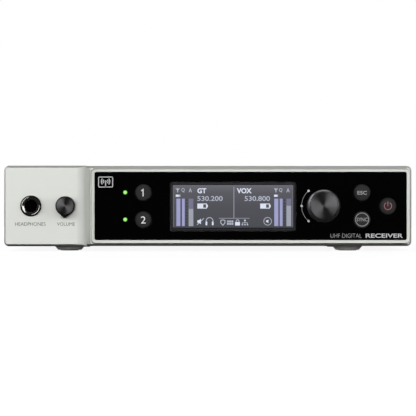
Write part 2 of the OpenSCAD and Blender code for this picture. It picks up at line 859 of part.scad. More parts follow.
base_tray();
top_cover();
front_bezel();
rear_panel();
foot_pads();
black_panel();
display_frame();
display_glass();
display_backlight();
display_flex();
push_button(buttons[0]);  // channel_1_button
push_button(buttons[1]);  // channel_2_button
push_button(buttons[2]);  // escape_button
push_button(buttons[3]);  // sync_button
push_button(buttons[4]);  // power_button
menu_dial();
menu_dial_cap();
encoder_shaft();
encoder_plunger();
encoder_body();
volume_knob();
volume_knob_cap();
volume_shaft();
volume_potentiometer();
headphone_bushing();
headphone_nut();
headphone_jack();
jack_contacts();
headphone_board();
front_board();
front_board_screws();
tact_switches();
status_leds();
light_pipes();
main_board();
board_standoffs();
board_screws();
chip_packages();
capacitors();
rf_shields();
board_connectors();
ribbon_cables();
coax_leads();
antenna_sockets();
antenna_nuts();
antenna_insulators();
xlr_shells();
xlr_inserts();
socket_pins();
output_jacks();
output_jack_bushings();
output_jack_nuts();
socket_screws();
ethernet_socket();
ethernet_contacts();
dc_inlet();
dc_pin();
cable_hook();
rack_inserts();
case_screws();
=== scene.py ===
"""Looks for a two-channel wireless microphone receiver in a half-width rack case.

The file is laid out as an add-on. Property groups hold the sizes and colours, an operator makes
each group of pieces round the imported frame, and a panel lists the operators. Lengths are in
metres, the front faces -Y and +Z is up. Outlines are lists of (x, z) points.
"""

import json
import math

import bmesh
import bpy
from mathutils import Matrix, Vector

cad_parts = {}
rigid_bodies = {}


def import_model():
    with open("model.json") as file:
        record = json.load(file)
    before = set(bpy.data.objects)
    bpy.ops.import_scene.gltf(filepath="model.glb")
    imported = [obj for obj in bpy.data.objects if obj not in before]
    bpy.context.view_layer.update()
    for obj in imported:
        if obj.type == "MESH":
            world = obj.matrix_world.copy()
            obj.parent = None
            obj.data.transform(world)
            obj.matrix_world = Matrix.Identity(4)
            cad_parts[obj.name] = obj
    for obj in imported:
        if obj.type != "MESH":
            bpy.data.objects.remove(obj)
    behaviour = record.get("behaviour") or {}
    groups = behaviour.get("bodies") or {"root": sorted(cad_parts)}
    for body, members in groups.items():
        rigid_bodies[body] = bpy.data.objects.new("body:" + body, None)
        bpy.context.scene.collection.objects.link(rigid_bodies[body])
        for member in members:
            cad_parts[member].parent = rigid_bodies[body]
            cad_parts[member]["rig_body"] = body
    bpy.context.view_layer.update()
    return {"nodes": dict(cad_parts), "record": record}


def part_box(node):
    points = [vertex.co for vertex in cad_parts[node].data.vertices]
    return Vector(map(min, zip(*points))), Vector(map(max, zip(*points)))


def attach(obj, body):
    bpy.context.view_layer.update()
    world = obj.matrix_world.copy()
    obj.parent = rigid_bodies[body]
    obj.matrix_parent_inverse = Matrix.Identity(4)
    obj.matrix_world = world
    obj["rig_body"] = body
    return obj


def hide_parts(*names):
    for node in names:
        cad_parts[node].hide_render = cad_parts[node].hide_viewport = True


bl_info = {
    "name": "Wireless receiver unit",
    "version": (1, 0, 0),
    "blender": (4, 5, 0),
    "location": "View3D > Sidebar > Receiver",
    "description": "Makes the pieces, finishes and stage of a half-width rack receiver",
    "category": "Object",
}

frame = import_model()

MM = 0.001
SHARP = math.radians(32)  # edges that turn more than this stay sharp, or are rounded off
FRONT_BEVEL = 1.15 * MM   # width of the bevel round the front, as in the frame
WATTS = 4                 # power of a rectangular light per square metre for a radiance of one


def linear(code):
    """Turns an sRGB hex colour into linear red, green, blue and alpha; a linear one stays as it is."""
    if not isinstance(code, str):
        return tuple(code)
    channels = [int(code[i:i + 2], 16) / 255 for i in (1, 3, 5)]
    return tuple(c / 12.92 if c <= 0.04045 else ((c + 0.055) / 1.055) ** 2.4 for c in channels) + (1.0,)


def centre(node):
    """The middle of a frame node."""
    low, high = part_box(node)
    return (low + high) / 2


def axis_of(node):
    """The X and Z of a frame node's middle, where the Y axis through it passes."""
    middle = centre(node)
    return middle.x, middle.z


def turned(node):
    """The radius, front Y and back Y of a frame node that is round about a Y axis."""
    low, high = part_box(node)
    return (high.x - low.x) / 2, low.y, high.y


def body_of(node):
    """The body that a frame node rides on."""
    return frame["nodes"][node]["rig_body"]


def slot_of(node):
    """The record's material slot of a frame node."""
    return next(part["material_slot"] for part in frame["record"]["subparts"] if part["node"] == node)


# ---------- Finishes ----------


def add(tree, kind, settings=None, links=None):
    """Adds a node, sets its inputs or its own settings, and links sockets to its inputs."""
    node = tree.nodes.new(kind)
    for name, value in (settings or {}).items():
        if isinstance(name, int) or name in node.inputs:
            node.inputs[name].default_value = value
        else:
            setattr(node, name, value)
    for name, socket in (links or {}).items():
        tree.links.new(socket, node.inputs[name])
    return node


def surface(name, constants):
    """A new material whose shader holds these constants; returns the material, its tree and the shader."""
    material = bpy.data.materials.new(name)
    material.use_nodes = True
    tree = material.node_tree
    tree.nodes.clear()
    shader = add(tree, "ShaderNodeBsdfPrincipled", constants)
    add(tree, "ShaderNodeOutputMaterial", links={"Surface": shader.outputs["BSDF"]})
    material.diffuse_color = constants.get("Base Color", (0.5, 0.5, 0.5, 1.0))
    return material, tree, shader


def grained(name, code, roughness, look, grain, depth, tone=0.04, gloss=0.04, patch=30 * MM):
    """A material with grain of one real size, and broad patches that change tone and gloss a little."""
    shade = linear(code)
    material, tree, shader = surface(name, {"Base Color": shade, "Roughness": roughness, **look})
    place = add(tree, "ShaderNodeTexCoord").outputs["Object"]
    fine = add(tree, "ShaderNodeTexNoise", {"Scale": 1 / grain, "Detail": 3.0, "Roughness": 0.6},
               {"Vector": place})
    broad = add(tree, "ShaderNodeTexNoise", {"Scale": 1 / patch, "Detail": 4.0}, {"Vector": place})
    darker = tuple(c * (1 - tone) for c in shade[:3]) + (1.0,)
    mixed = add(tree, "ShaderNodeMix", {"data_type": "RGBA", 6: darker, 7: shade},
                {0: broad.outputs["Fac"]})
    span = add(tree, "ShaderNodeMapRange", {"To Min": roughness - gloss, "To Max": roughness + gloss},
               {"Value": broad.outputs["Fac"]})
    bump = add(tree, "ShaderNodeBump", {"Strength": 1.0, "Distance": depth}, {"Height": fine.outputs["Fac"]})
    tree.links.new(mixed.outputs[2], shader.inputs["Base Color"])
    tree.links.new(span.outputs["Result"], shader.inputs["Roughness"])
    tree.links.new(bump.outputs["Normal"], shader.inputs["Normal"])
    return material


def powder_coat(name, code, roughness=0.42):
    """Baked powder coat on metal: satin, with a fine orange peel of about a millimetre."""
    return grained(name, code, roughness, {"IOR": 1.5, "Coat Weight": 0.08, "Coat Roughness": 0.25},
                   0.9 * MM, 0.004 * MM, tone=0.025)


def moulded_plastic(name, code, roughness, grain=0.35 * MM, depth=0.012 * MM):
    """Injection-moulded ABS or nylon: an eroded tool leaves an even, fine grain."""
    return grained(name, code, roughness, {"IOR": 1.46}, grain, depth, tone=0.12, gloss=0.06)


def gloss_acrylic(name, code):
    """Back-printed acrylic sheet: deep black under a polished face that only shows faint dust."""
    return grained(name, code, 0.06, {"IOR": 1.49}, 6 * MM, 0.0004 * MM, tone=0.3, gloss=0.02, patch=60 * MM)


def plated_metal(name, code, roughness, grain=0.5 * MM, depth=0.002 * MM):
    """Plated or oxidised metal: its colour is in its reflection, with slight clouding."""
    return grained(name, code, roughness, {"Metallic": 1.0}, grain, depth, tone=0.15,
                   gloss=roughness * 0.3, patch=5 * MM)


def spun_metal(name, code, roughness):
    """Turned aluminium face: rings from the tool stretch every highlight into a bow tie."""
    colour = linear(code)
    material, tree, shader = surface(name, {"Base Color": colour, "Roughness": roughness, "Metallic": 1.0,
                                            "Anisotropic": 0.95, "Anisotropic Rotation": 0.25})
    rings = add(tree, "ShaderNodeTangent", {"direction_type": "RADIAL", "axis": "Y"})
    tree.links.new(rings.outputs["Tangent"], shader.inputs["Tangent"])
    return material


def circuit_board(name, code):
    """Glass-epoxy board under solder mask: copper tracks show as a lighter maze of lines."""
    colour = linear(code)
    material, tree, shader = surface(name, {"Base Color": colour, "Roughness": 0.35, "IOR": 1.5,
                                            "Coat Weight": 0.3})
    place = add(tree, "ShaderNodeTexCoord").outputs["Object"]
    tracks = add(tree, "ShaderNodeTexBrick", {
        "Scale": 1.0, "Mortar Size": 0.16 * MM, "Brick Width": 4 * MM, "Row Height": 1.1 * MM,
        "Color1": colour, "Color2": linear("#0E4A30"), "Mortar": linear("#2E8058")}, {"Vector": place})
    tree.links.new(tracks.outputs["Color"], shader.inputs["Base Color"])
    return material


def print_ink(name, code):
    """Screen-printed ink: opaque, matt, its tone slightly uneven where the screen laid it down."""
    return grained(name, code, 0.55, {"IOR": 1.45}, 0.3 * MM, 0.002 * MM, tone=0.1, patch=3 * MM)


def lit_colour(name, code):
    """A lit part of the display: light comes through a dark filter, so its own face is black."""
    material, tree, shader = surface(name, {"Base Color": linear("#0A0A0C"), "Roughness": 0.2,
                                            "Emission Strength": 1.0})
    place = add(tree, "ShaderNodeTexCoord").outputs["Object"]
    cells = add(tree, "ShaderNodeTexNoise", {"Scale": 1 / (2.5 * MM), "Detail": 2.0}, {"Vector": place})
    bright = linear(code)
    dim = tuple(c * 0.86 for c in bright[:3]) + (1.0,)
    mixed = add(tree, "ShaderNodeMix", {"data_type": "RGBA", 6: dim, 7: bright}, {0: cells.outputs["Fac"]})
    tree.links.new(mixed.outputs[2], shader.inputs["Emission Color"])
    material.diffuse_color = bright
    return material


def display_image(name, low_z, high_z, low_code, high_code):
    """Backlit liquid crystal behind glass: it glows from its top edge and fades towards its foot."""
    material, tree, shader = surface(name, {"Base Color": linear("#050506"), "Roughness": 0.12, "IOR": 1.5,
                                            "Emission Strength": 1.0})
    place = add(tree, "ShaderNodeTexCoord").outputs["Object"]
    height = add(tree, "ShaderNodeSeparateXYZ", links={"Vector": place}).outputs["Z"]
    rise = add(tree, "ShaderNodeMapRange", {"From Min": low_z, "From Max": high_z}, {"Value": height})
    ramp = add(tree, "ShaderNodeValToRGB", links={"Fac": rise.outputs["Result"]})
    low, high = linear(low_code), linear(high_code)
    stops = ((0.0, -0.35), (0.03, 0.0), (0.5, 0.12), (0.82, 0.36), (0.95, 0.72), (1.0, 1.0))
    while len(ramp.color_ramp.elements) < len(stops):
        ramp.color_ramp.elements.new(0.5)
    for stop, (place_up, share) in zip(ramp.color_ramp.elements, stops):
        stop.position = place_up
        stop.color = tuple(a + (b - a) * share for a, b in zip(low, high))
    tree.links.new(ramp.outputs["Color"], shader.inputs["Emission Color"])
    return material


def lamp_lens(name, core_code, edge_code, radius, places):
    """Clear green lens over a lit diode: palest in the middle, deeper green towards its rim."""
    material, tree, shader = surface(name, {"Base Color": linear("#1C3A10"), "Roughness": 0.25, "IOR": 1.5,
                                            "Emission Strength": 1.0})
    place = add(tree, "ShaderNodeTexCoord").outputs["Object"]
    nearest = None
    for x, z in places:
        away = add(tree, "ShaderNodeVectorMath", {"operation": "SUBTRACT", 1: (x, 0, z)}, {0: place})
        flat = add(tree, "ShaderNodeVectorMath", {"operation": "MULTIPLY", 1: (1, 0, 1)},
                   {0: away.outputs[0]})
        length = add(tree, "ShaderNodeVectorMath", {"operation": "LENGTH"},
                     {0: flat.outputs[0]}).outputs["Value"]
        if nearest:
            length = add(tree, "ShaderNodeMath", {"operation": "MINIMUM"}, {0: nearest, 1: length}).outputs[0]
        nearest = length
    rim = add(tree, "ShaderNodeMapRange", {"From Min": radius * 0.6, "From Max": radius}, {"Value": nearest})
    mixed = add(tree, "ShaderNodeMix", {"data_type": "RGBA", 6: linear(core_code), 7: linear(edge_code)},
                {0: rim.outputs["Result"]})
    tree.links.new(mixed.outputs[2], shader.inputs["Emission Color"])
    return material


def chosen(group):
    """The scene's settings of one group."""
    return getattr(bpy.context.scene, "receiver_" + group)


def finish(slot):
    """The material of one of the record's slots, made the first time it is wanted."""
    if slot not in made_finishes:
        made_finishes[slot] = FINISHES[slot]()
    return made_finishes[slot]


def lamp_places():
    """Where the two status lamps sit, from the upper and lower channel keys and the lenses."""
    x = centre("light_pipes").x
    return [(x, centre(key).z) for key in ("channel_1_button", "channel_2_button")]


made_finishes = {}
FINISHES = {
    "light_grey_paint": lambda: powder_coat("powder_coat_light_grey", chosen("case").paint),
    "black_painted_zinc": lambda: powder_coat("powder_coat_black_die_cast", "#1B1C1F", 0.5),
    "soft_rubber": lambda: moulded_plastic("moulded_rubber_black", "#1A1A1A", 0.8),
    "black_gloss_panel": lambda: gloss_acrylic("back_printed_acrylic_black", chosen("panel").black),
    "display_bezel_plastic": lambda: moulded_plastic("moulded_abs_charcoal", "#111114", 0.5),
    "display_glass": lambda: display_image("backlit_display_glass", *screen_heights(), chosen("display").foot,
                                           chosen("display").head),
    "white_plastic": lambda: moulded_plastic("moulded_abs_white", "#E4E4DF", 0.5),
    "polyimide_film": lambda: moulded_plastic("polyimide_film_amber", "#B5691A", 0.35),
    "key_plastic": lambda: moulded_plastic("moulded_silicone_key_charcoal", chosen("control").key_colour,
                                           0.55),
    "black_anodised_aluminium": lambda: plated_metal("anodised_aluminium_black", "#2B2B2D", 0.38),
    "spun_grey_aluminium": lambda: spun_metal("spun_anodised_aluminium_grey",
                                              chosen("control").dial_colour, 0.42),
    "ground_steel": lambda: plated_metal("ground_steel", "#B9B9B6", 0.28),
    "ivory_plastic": lambda: moulded_plastic("moulded_nylon_ivory", "#D9D2C0", 0.5),
    "pressed_steel": lambda: plated_metal("zinc_plated_pressed_steel", "#A9ABAD", 0.35),
    "component_case": lambda: moulded_plastic("moulded_phenolic_slate", "#4D5B66", 0.55),
    "nickel_plate": lambda: plated_metal("bright_nickel_plate", "#D8D6D0", 0.12),
    "black_oxide_steel": lambda: plated_metal("black_oxide_steel", "#2A2A2B", 0.35),
    "black_moulding": lambda: moulded_plastic("moulded_pbt_black", "#101011", 0.5),
    "green_circuit_board": lambda: circuit_board("solder_mask_green", "#125238"),
    "led_lens": lambda: lamp_lens("moulded_lens_lit_green", chosen("panel").lamp, "#1E4A10", 1.1 * MM,
                                  lamp_places()),
    "brass": lambda: plated_metal("turned_brass", "#C9A961", 0.3),
    "capacitor_sleeve": lambda: moulded_plastic("shrink_sleeve_navy", "#232E5C", 0.3),
    "tinned_steel": lambda: plated_metal("tin_plated_steel", "#C6C8C6", 0.3),
    "grey_cable": lambda: moulded_plastic("pvc_ribbon_pale_grey", "#D2D2D6", 0.45),
    "brown_cable": lambda: moulded_plastic("fep_cable_jacket_brown", "#6A3F20", 0.35),
    "white_insulator": lambda: moulded_plastic("turned_ptfe_white", "#EBE9E2", 0.5),
    "gold_plate": lambda: plated_metal("gold_flash_contact", "#D9B25A", 0.22),
}


def screen_heights():
    """The lowest and highest Z of the display's lit area."""
    low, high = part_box("display_glass")
    return low.z, high.z


# ---------- Shapes ----------


def rounded_rectangle(low, high, radius, steps=8):
    """Corners of a rectangle with rounded corners."""
    points = []
    corners = ((high[0], low[1], -90), (high[0], high[1], 0), (low[0], high[1], 90), (low[0], low[1], 180))
    for (x, z, start), (sx, sz) in zip(corners, ((-1, 1), (-1, -1), (1, -1), (1, 1))):
        points += arc((x + sx * radius, z + sz * radius), radius, start, start + 90, steps)
    return points


def arc(middle, radius, start, end, steps=24):
    """Points on a circle between two angles in degrees."""
    turns = [math.radians(start + (end - start) * i / steps) for i in range(steps + 1)]
    return [(middle[0] + radius * math.cos(t), middle[1] + radius * math.sin(t)) for t in turns]


def filleted(points, radius, steps=4, closed=False):
    """Rounds the corners of a line of points with short curves that start radius from each corner."""
    result = []
    for i, corner in enumerate(points):
        if not closed and i in (0, len(points) - 1):
            result.append(tuple(corner))
            continue
        here, before, after = Vector(corner), Vector(points[i - 1]), Vector(points[(i + 1) % len(points)])
        reach = min(radius, (before - here).length / 2, (after - here).length / 2)
        start = here + (before - here).normalized() * reach
        end = here + (after - here).normalized() * reach
        for s in range(steps + 1):
            t = s / steps
            result.append(tuple(start * (1 - t) ** 2 + here * 2 * t * (1 - t) + end * t * t))
    return result


def loft(bm, rings):
    """Joins outlines of equal length, each with its Y, into a closed skin."""
    rows = [[bm.verts.new((x, y, z)) for x, z in outline] for outline, y in rings]
    for near, far in zip(rows, rows[1:]):
        for i, j in zip(range(len(near)), list(range(1, len(near))) + [0]):
            bm.faces.new((near[i], near[j], far[j], far[i]))
    bm.faces.new(rows[0])
    bm.faces.new(rows[-1][::-1])


def lathe(bm, profile, middle, steps=96):
    """Spins (radius, y) points round a Y axis; a profile that ends where it starts makes a tube."""
    closed = profile[0] == profile[-1]
    rows = []
    for radius, y in profile[:-1] if closed else profile:
        if radius < 1e-7:
            rows.append([bm.verts.new((middle[0], y, middle[1]))] * steps)
        else:
            rows.append([bm.verts.new((x, y, z)) for x, z in arc(middle, radius, 0, 360, steps)[:-1]])
    for near, far in zip(rows, rows[1:] + (rows[:1] if closed else [])):
        for i in range(steps):
            j = (i + 1) % steps
            corners = list(dict.fromkeys((near[i], near[j], far[j], far[i])))
            if len(corners) > 2:
                bm.faces.new(corners)


def plate(bm, outline, front, back):
    """A flat solid with this outline."""
    loft(bm, [(outline, front), (outline, back)])


def stroke(bm, points, width, front, back, closed=False):
    """A flat raised line of one width along the points."""
    sides = []
    for i, point in enumerate(points):
        here = Vector(point)
        first, last = not closed and i == 0, not closed and i == len(points) - 1
        into = (here - Vector(points[i - 1])).normalized()
        out = (Vector(points[(i + 1) % len(points)]) - here).normalized()
        into, out = (out if first else into), (into if last else out)
        along = (into + out).normalized()
        across = Vector((-along.y, along.x))
        reach = width / 2 / max(across.dot(Vector((-into.y, into.x))), 0.5)
        sides.append((here + across * reach, here - across * reach))
    rows = [[bm.verts.new((p.x, y, p.y)) for p, y in ((a, front), (b, front), (b, back), (a, back))]
            for a, b in sides]
    following = rows[1:] + (rows[:1] if closed else [])
    for one, two in zip(rows, following):
        for i in range(4):
            j = (i + 1) % 4
            bm.faces.new((one[i], one[j], two[j], two[i]))
    if not closed:
        bm.faces.new(rows[0])
        bm.faces.new(rows[-1][::-1])


def disc(bm, middle, radius, front, back, steps=24):
    """A flat round solid."""
    plate(bm, arc(middle, radius, 0, 360, steps)[:-1], front, back)


def lettering(bm, text, middle, width, height, front, back, weight=0.0, rear=False):
    """Flat letters, fitted to a width and a height round their middle; rear ones read from behind."""
    curve = bpy.data.curves.new("letters", "FONT")
    curve.body = text
    curve.offset = weight
    curve.resolution_u = 4
    curve.extrude = 0.5
    holder = bpy.data.objects.new("letters", curve)
    mesh = bpy.data.meshes.new_from_object(holder)
    xs = [v.co.x for v in mesh.vertices]
    ys = [v.co.y for v in mesh.vertices]
    across, up = max(xs) - min(xs), max(ys) - min(ys)
    turn = -1 if rear else 1
    for v in mesh.vertices:
        x = ((v.co.x - min(xs)) / across - 0.5) * width
        z = ((v.co.y - min(ys)) / up - 0.5) * height
        y = (front + back) / 2 - turn * v.co.z * abs(back - front)
        v.co = (middle[0] + turn * x, y, middle[1] + z)
    bm.from_mesh(mesh)
    bpy.data.objects.remove(holder)
    bpy.data.curves.remove(curve)
    bpy.data.meshes.remove(mesh)


def piece(name, shape, slot, body="case", replaces=(), material=None):
    """Turns a built shape into a finished piece that rides on a body."""
    bmesh.ops.remove_doubles(shape, verts=shape.verts, dist=1e-7)
    bmesh.ops.recalc_face_normals(shape, faces=shape.faces)
    mesh = bpy.data.meshes.new(name)
    shape.to_mesh(mesh)
    shape.free()
    return finished(name, mesh, slot, body, replaces, material)


def finished(name, mesh, slot, body="case", replaces=(), material=None):
    """Gives a mesh its smoothing, its body and the finish of its slot or the given material; flat faces keep
    their own normals.
    """
    mesh.materials.clear()
    mesh.materials.append(material or finish(slot))
    mesh.polygons.foreach_set("use_smooth", [True] * len(mesh.polygons))
    mesh.set_sharp_from_angle(angle=SHARP)
    made = bpy.data.objects.new(name, mesh)
    bpy.context.scene.collection.objects.link(made)
    weighted = made.modifiers.new("flat_faces", "WEIGHTED_NORMAL")
    weighted.keep_sharp = True
    weighted.weight = 100
    graph = bpy.context.evaluated_depsgraph_get()
    made.data = bpy.data.meshes.new_from_object(made.evaluated_get(graph))
    made.modifiers.remove(weighted)
    bpy.data.meshes.remove(mesh)
    made.data.name = name
    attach(made, body)
    if replaces:
        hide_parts(*replaces)
    return made


def spun_face(name, node, holder, measures, inner, steps, material=None):
    """The dished metal face let into the dial or the knob; it rides with its holder.

    measures: rise to the rim, rise where the rim's curve starts, rise of the rim, radius of the curve
    """
    radius, front, back = turned(node)
    dish, start, rim, curve = (value * MM for value in measures)
    shape = bmesh.new()
    face = [(radius * t, front + dish * t * t) for t in (0, 0.25, 0.5, 0.75)]
    edge = filleted([(radius * inner, front + start), (radius, front + rim), (radius, back)], curve)
    lathe(shape, face + edge + [(0, back)], axis_of(holder), steps)
    piece(name, shape, "spun_grey_aluminium", body_of(holder), (node,), material)


def merged(node):
    """The frame node's mesh as one skin with its flat faces joined."""
    shape = bmesh.new()
    shape.from_mesh(frame["nodes"][node].data)
    bmesh.ops.remove_doubles(shape, verts=shape.verts, dist=1e-6)
    bmesh.ops.dissolve_limit(shape, angle_limit=math.radians(0.4), verts=shape.verts, edges=shape.edges)
    return shape


def softened(node, width, steps=2):
    """A copy of a frame node with its sharp edges rounded off, which stands for the node."""
    shape = merged(node)
    sharp = [e for e in shape.edges if len(e.link_faces) == 2 and e.calc_face_angle(0) > SHARP]
    bmesh.ops.bevel(shape, geom=sharp, offset=width, offset_type="OFFSET", segments=steps, profile=0.5,
                    affect="EDGES", clamp_overlap=True)
    return piece(node + "_finished", shape, slot_of(node), body_of(node), (node,))


# ---------- Repeats made with geometry nodes ----------


def node_tree(name, inputs):
    """A geometry node tree with these named inputs; returns it with its input and output nodes."""
    tree = bpy.data.node_groups.new(name, "GeometryNodeTree")
    tree.interface.new_socket("Geometry", in_out="INPUT", socket_type="NodeSocketGeometry")
    for label, kind, value in inputs:
        socket = tree.interface.new_socket(label, in_out="INPUT", socket_type=kind)
        if value is not None:
            socket.default_value = value
    tree.interface.new_socket("Geometry", in_out="OUTPUT", socket_type="NodeSocketGeometry")
    return tree, add(tree, "NodeGroupInput"), add(tree, "NodeGroupOutput")


def times(tree, socket, factor):
    """The value of a socket, multiplied."""
    return add(tree, "ShaderNodeMath", {"operation": "MULTIPLY", 1: factor}, {0: socket}).outputs[0]


def less(tree, socket, settings=None, links=None):
    """The value of a socket, less a number or the value of another socket."""
    return add(tree, "ShaderNodeMath", {"operation": "SUBTRACT", **(settings or {})},
               {0: socket, **(links or {})}).outputs[0]


def raised(tree, shape, height):
    """A shape moved along Z by the value of a socket."""
    place = add(tree, "ShaderNodeCombineXYZ", links={"Z": height})
    return add(tree, "GeometryNodeTransform", links={
        "Geometry": shape.outputs["Mesh"], "Translation": place.outputs[0]}).outputs[0]


def close_tree(tree, entry, leave, item, points=None, **links):
    """Ends a tree: the item goes on every point, becomes real and takes the material that is an input."""
    placed = add(tree, "GeometryNodeInstanceOnPoints", links={
        "Points": points or entry.outputs["Geometry"], "Instance": item, **links})
    real = add(tree, "GeometryNodeRealizeInstances", links={"Geometry": placed.outputs[0]})
    dressed = add(tree, "GeometryNodeSetMaterial",
                  links={"Geometry": real.outputs[0], "Material": entry.outputs["Material"]})
    tree.links.new(dressed.outputs[0], leave.inputs["Geometry"])


def grown(name, tree, values, slot, points=(), facings=(), replaces=(), material=None):
    """Runs a tree on loose points, keeps its result as a plain mesh and finishes it."""
    seed = bpy.data.meshes.new(name + "_points")
    seed.from_pydata([tuple(p) for p in points], [], [])
    if facings:
        seed.attributes.new("facing", "FLOAT_VECTOR", "POINT")
        for item, facing in zip(seed.attributes["facing"].data, facings):
            item.vector = facing
    holder = bpy.data.objects.new(name + "_holder", seed)
    bpy.context.scene.collection.objects.link(holder)
    modifier = holder.modifiers.new("grow", "NODES")
    modifier.node_group = tree
    values = dict(values, Material=material or finish(slot))
    for socket in tree.interface.items_tree:
        if socket.in_out == "INPUT" and socket.name in values:
            modifier[socket.identifier] = values[socket.name]
    graph = bpy.context.evaluated_depsgraph_get()
    mesh = bpy.data.meshes.new_from_object(holder.evaluated_get(graph))
    holder.modifiers.remove(modifier)
    bpy.data.objects.remove(holder)
    shape = bmesh.new()
    shape.from_mesh(mesh)
    bpy.data.meshes.remove(mesh)
    return piece(name, shape, slot, replaces=replaces, material=material)


def screw_tree():
    """Countersunk screws with a cross recess, one on each point, turned to its facing."""
    tree, entry, leave = node_tree("countersunk_screws", [
        ("Head radius", "NodeSocketFloat", 2.6 * MM), ("Head depth", "NodeSocketFloat", 1.25 * MM),
        ("Shank radius", "NodeSocketFloat", 1.2 * MM), ("Length", "NodeSocketFloat", 2.8 * MM),
        ("Recess width", "NodeSocketFloat", 0.5 * MM), ("Material", "NodeSocketMaterial", None)])
    given = entry.outputs
    head = add(tree, "GeometryNodeMeshCone", {"Vertices": 40}, {
        "Radius Top": given["Head radius"], "Radius Bottom": given["Shank radius"],
        "Depth": given["Head depth"]})
    head = raised(tree, head, times(tree, given["Head depth"], -1.0))
    shank = add(tree, "GeometryNodeMeshCylinder", {"Vertices": 24}, {
        "Radius": given["Shank radius"], "Depth": less(tree, given["Length"], {1: 1.0 * MM})})
    shank = raised(tree, shank, times(tree, given["Length"], -0.5))
    wide = times(tree, given["Head radius"], 1.15)
    cut = add(tree, "GeometryNodeMeshBoolean", {"operation": "DIFFERENCE"}, {0: head})
    for along, across in (("X", "Y"), ("Y", "X")):
        size = add(tree, "ShaderNodeCombineXYZ", {"Z": 1.6 * MM}, {
            along: wide, across: given["Recess width"]})
        bar = add(tree, "GeometryNodeMeshCube", links={"Size": size.outputs[0]})
        tree.links.new(bar.outputs["Mesh"], cut.inputs[1])
    screw = add(tree, "GeometryNodeJoinGeometry")
    for item in (cut.outputs[0], shank):
        tree.links.new(item, screw.inputs[0])
    facing = add(tree, "GeometryNodeInputNamedAttribute", {"data_type": "FLOAT_VECTOR", "Name": "facing"})
    turn = add(tree, "FunctionNodeAlignRotationToVector", {"axis": "Z"},
               {"Vector": facing.outputs["Attribute"]})
    close_tree(tree, entry, leave, screw.outputs[0], Rotation=turn.outputs[0])
    return tree


def row_tree():
    """Equal blocks in a row, such as scale marks or spring contacts."""
    tree, entry, leave = node_tree("row_of_blocks", [
        ("Start", "NodeSocketVector", None), ("Step", "NodeSocketVector", None),
        ("Count", "NodeSocketInt", 8), ("Block", "NodeSocketVector", None),
        ("Material", "NodeSocketMaterial", None)])
    line = add(tree, "GeometryNodeMeshLine", {"mode": "OFFSET"}, {
        "Count": entry.outputs["Count"], "Start Location": entry.outputs["Start"],
        "Offset": entry.outputs["Step"]})
    block = add(tree, "GeometryNodeMeshCube", links={"Size": entry.outputs["Block"]})
    close_tree(tree, entry, leave, block.outputs["Mesh"], line.outputs["Mesh"])
    return tree


def pad_tree():
    """Round pads with a rolled edge, one on each point."""
    tree, entry, leave = node_tree("round_pads", [
        ("Radius", "NodeSocketFloat", 4.75 * MM), ("Thickness", "NodeSocketFloat", 0.5 * MM),
        ("Edge", "NodeSocketFloat", 0.25 * MM), ("Material", "NodeSocketMaterial", None)])
    given = entry.outputs
    wall = add(tree, "GeometryNodeMeshCylinder", {"Vertices": 48}, {
        "Radius": given["Radius"], "Depth": given["Thickness"]})
    groove = add(tree, "GeometryNodeMeshCylinder", {"Vertices": 48}, {
        "Radius": less(tree, given["Radius"], links={1: given["Edge"]}),
        "Depth": times(tree, given["Thickness"], 0.35)})
    groove = raised(tree, groove, times(tree, given["Thickness"], -0.5))
    cut = add(tree, "GeometryNodeMeshBoolean", {"operation": "DIFFERENCE"}, {0: wall.outputs["Mesh"]})
    tree.links.new(groove, cut.inputs[1])
    close_tree(tree, entry, leave, cut.outputs[0])
    return tree


# ---------- Sizes and colours that a user may change ----------


def colour(name, about, code):
    """A colour setting; its default is an sRGB code."""
    return bpy.props.FloatVectorProperty(
        name=name, description=about, subtype="COLOR", size=4, default=linear(code))


def length(name, about, default, precision=5, **limits):
    """A length setting in metres."""
    return bpy.props.FloatProperty(
        name=name, description=about, default=default, unit="LENGTH", precision=precision, **limits)


def power(name, about, default):
    """A setting for the power of a light in watts."""
    return bpy.props.FloatProperty(name=name, description=about, default=default, unit="POWER")


class RECEIVER_case_settings(bpy.types.PropertyGroup):
    """Edges, paint and lettering of the case."""

    edge: length("Edge radius", "Rounding of folded and cut sheet edges", 0.25 * MM, min=0.05 * MM)
    paint: colour("Paint", "Colour of the powder coat on the case", "#E6E8E2")
    ink: colour("Lettering", "Colour of the words on the case", "#3E403C")


class RECEIVER_panel_settings(bpy.types.PropertyGroup):
    """Black panel, its printing and its lamps."""

    black: colour("Panel", "Colour of the acrylic panel", "#010101")
    ink: colour("Print", "Colour of the bold print on the panel", "#CFD0D2")
    faint_ink: colour("Fine print", "Colour of the thin lines and letters on the panel", "#A8A9AC")
    lamp: colour("Lamps", "Colour in the middle of a lit status lamp", "#AAFF80")
    ink_height: length("Ink height", "Thickness of the printed lines", 0.03 * MM, 6, min=0.01 * MM)
    arc_radius: length("Arc radius", "Radius of the printed arc beside the dial", 10.4 * MM)
    arc_half_angle: bpy.props.FloatProperty(
        name="Arc half angle", description="Half of the angle that the arc covers",
        default=math.radians(49), subtype="ANGLE")


class RECEIVER_display_settings(bpy.types.PropertyGroup):
    """Colours of the lit display."""

    head: colour("Glow at the top", "Colour of the empty screen along its upper edge", "#6E6D75")
    foot: colour("Glow at the foot", "Colour of the empty screen near its lower edge", "#4D4E53")
    bright: colour("Bright characters", "Colour of names and symbols", "#E4E9FA")
    pale: colour("Pale characters", "Colour of the frequencies and fine symbols", "#B9BECF")
    bars: colour("Signal bars", "Colour of the signal bars", "#A4A6D2")


class RECEIVER_control_settings(bpy.types.PropertyGroup):
    """Keys, dial and knob."""

    key_radius: length("Key radius", "Radius of the caps of the push keys", 4.0 * MM)
    key_crown: length("Key crown", "Rise of a key's face towards its middle", 0.12 * MM)
    numeral_height: length("Numeral height", "Height of the channel numbers", 3.75 * MM)
    key_colour: colour("Keys", "Colour of the push keys", "#222223")
    dial_colour: colour("Spun faces", "Colour of the metal faces of the dial and the knob", "#929294")


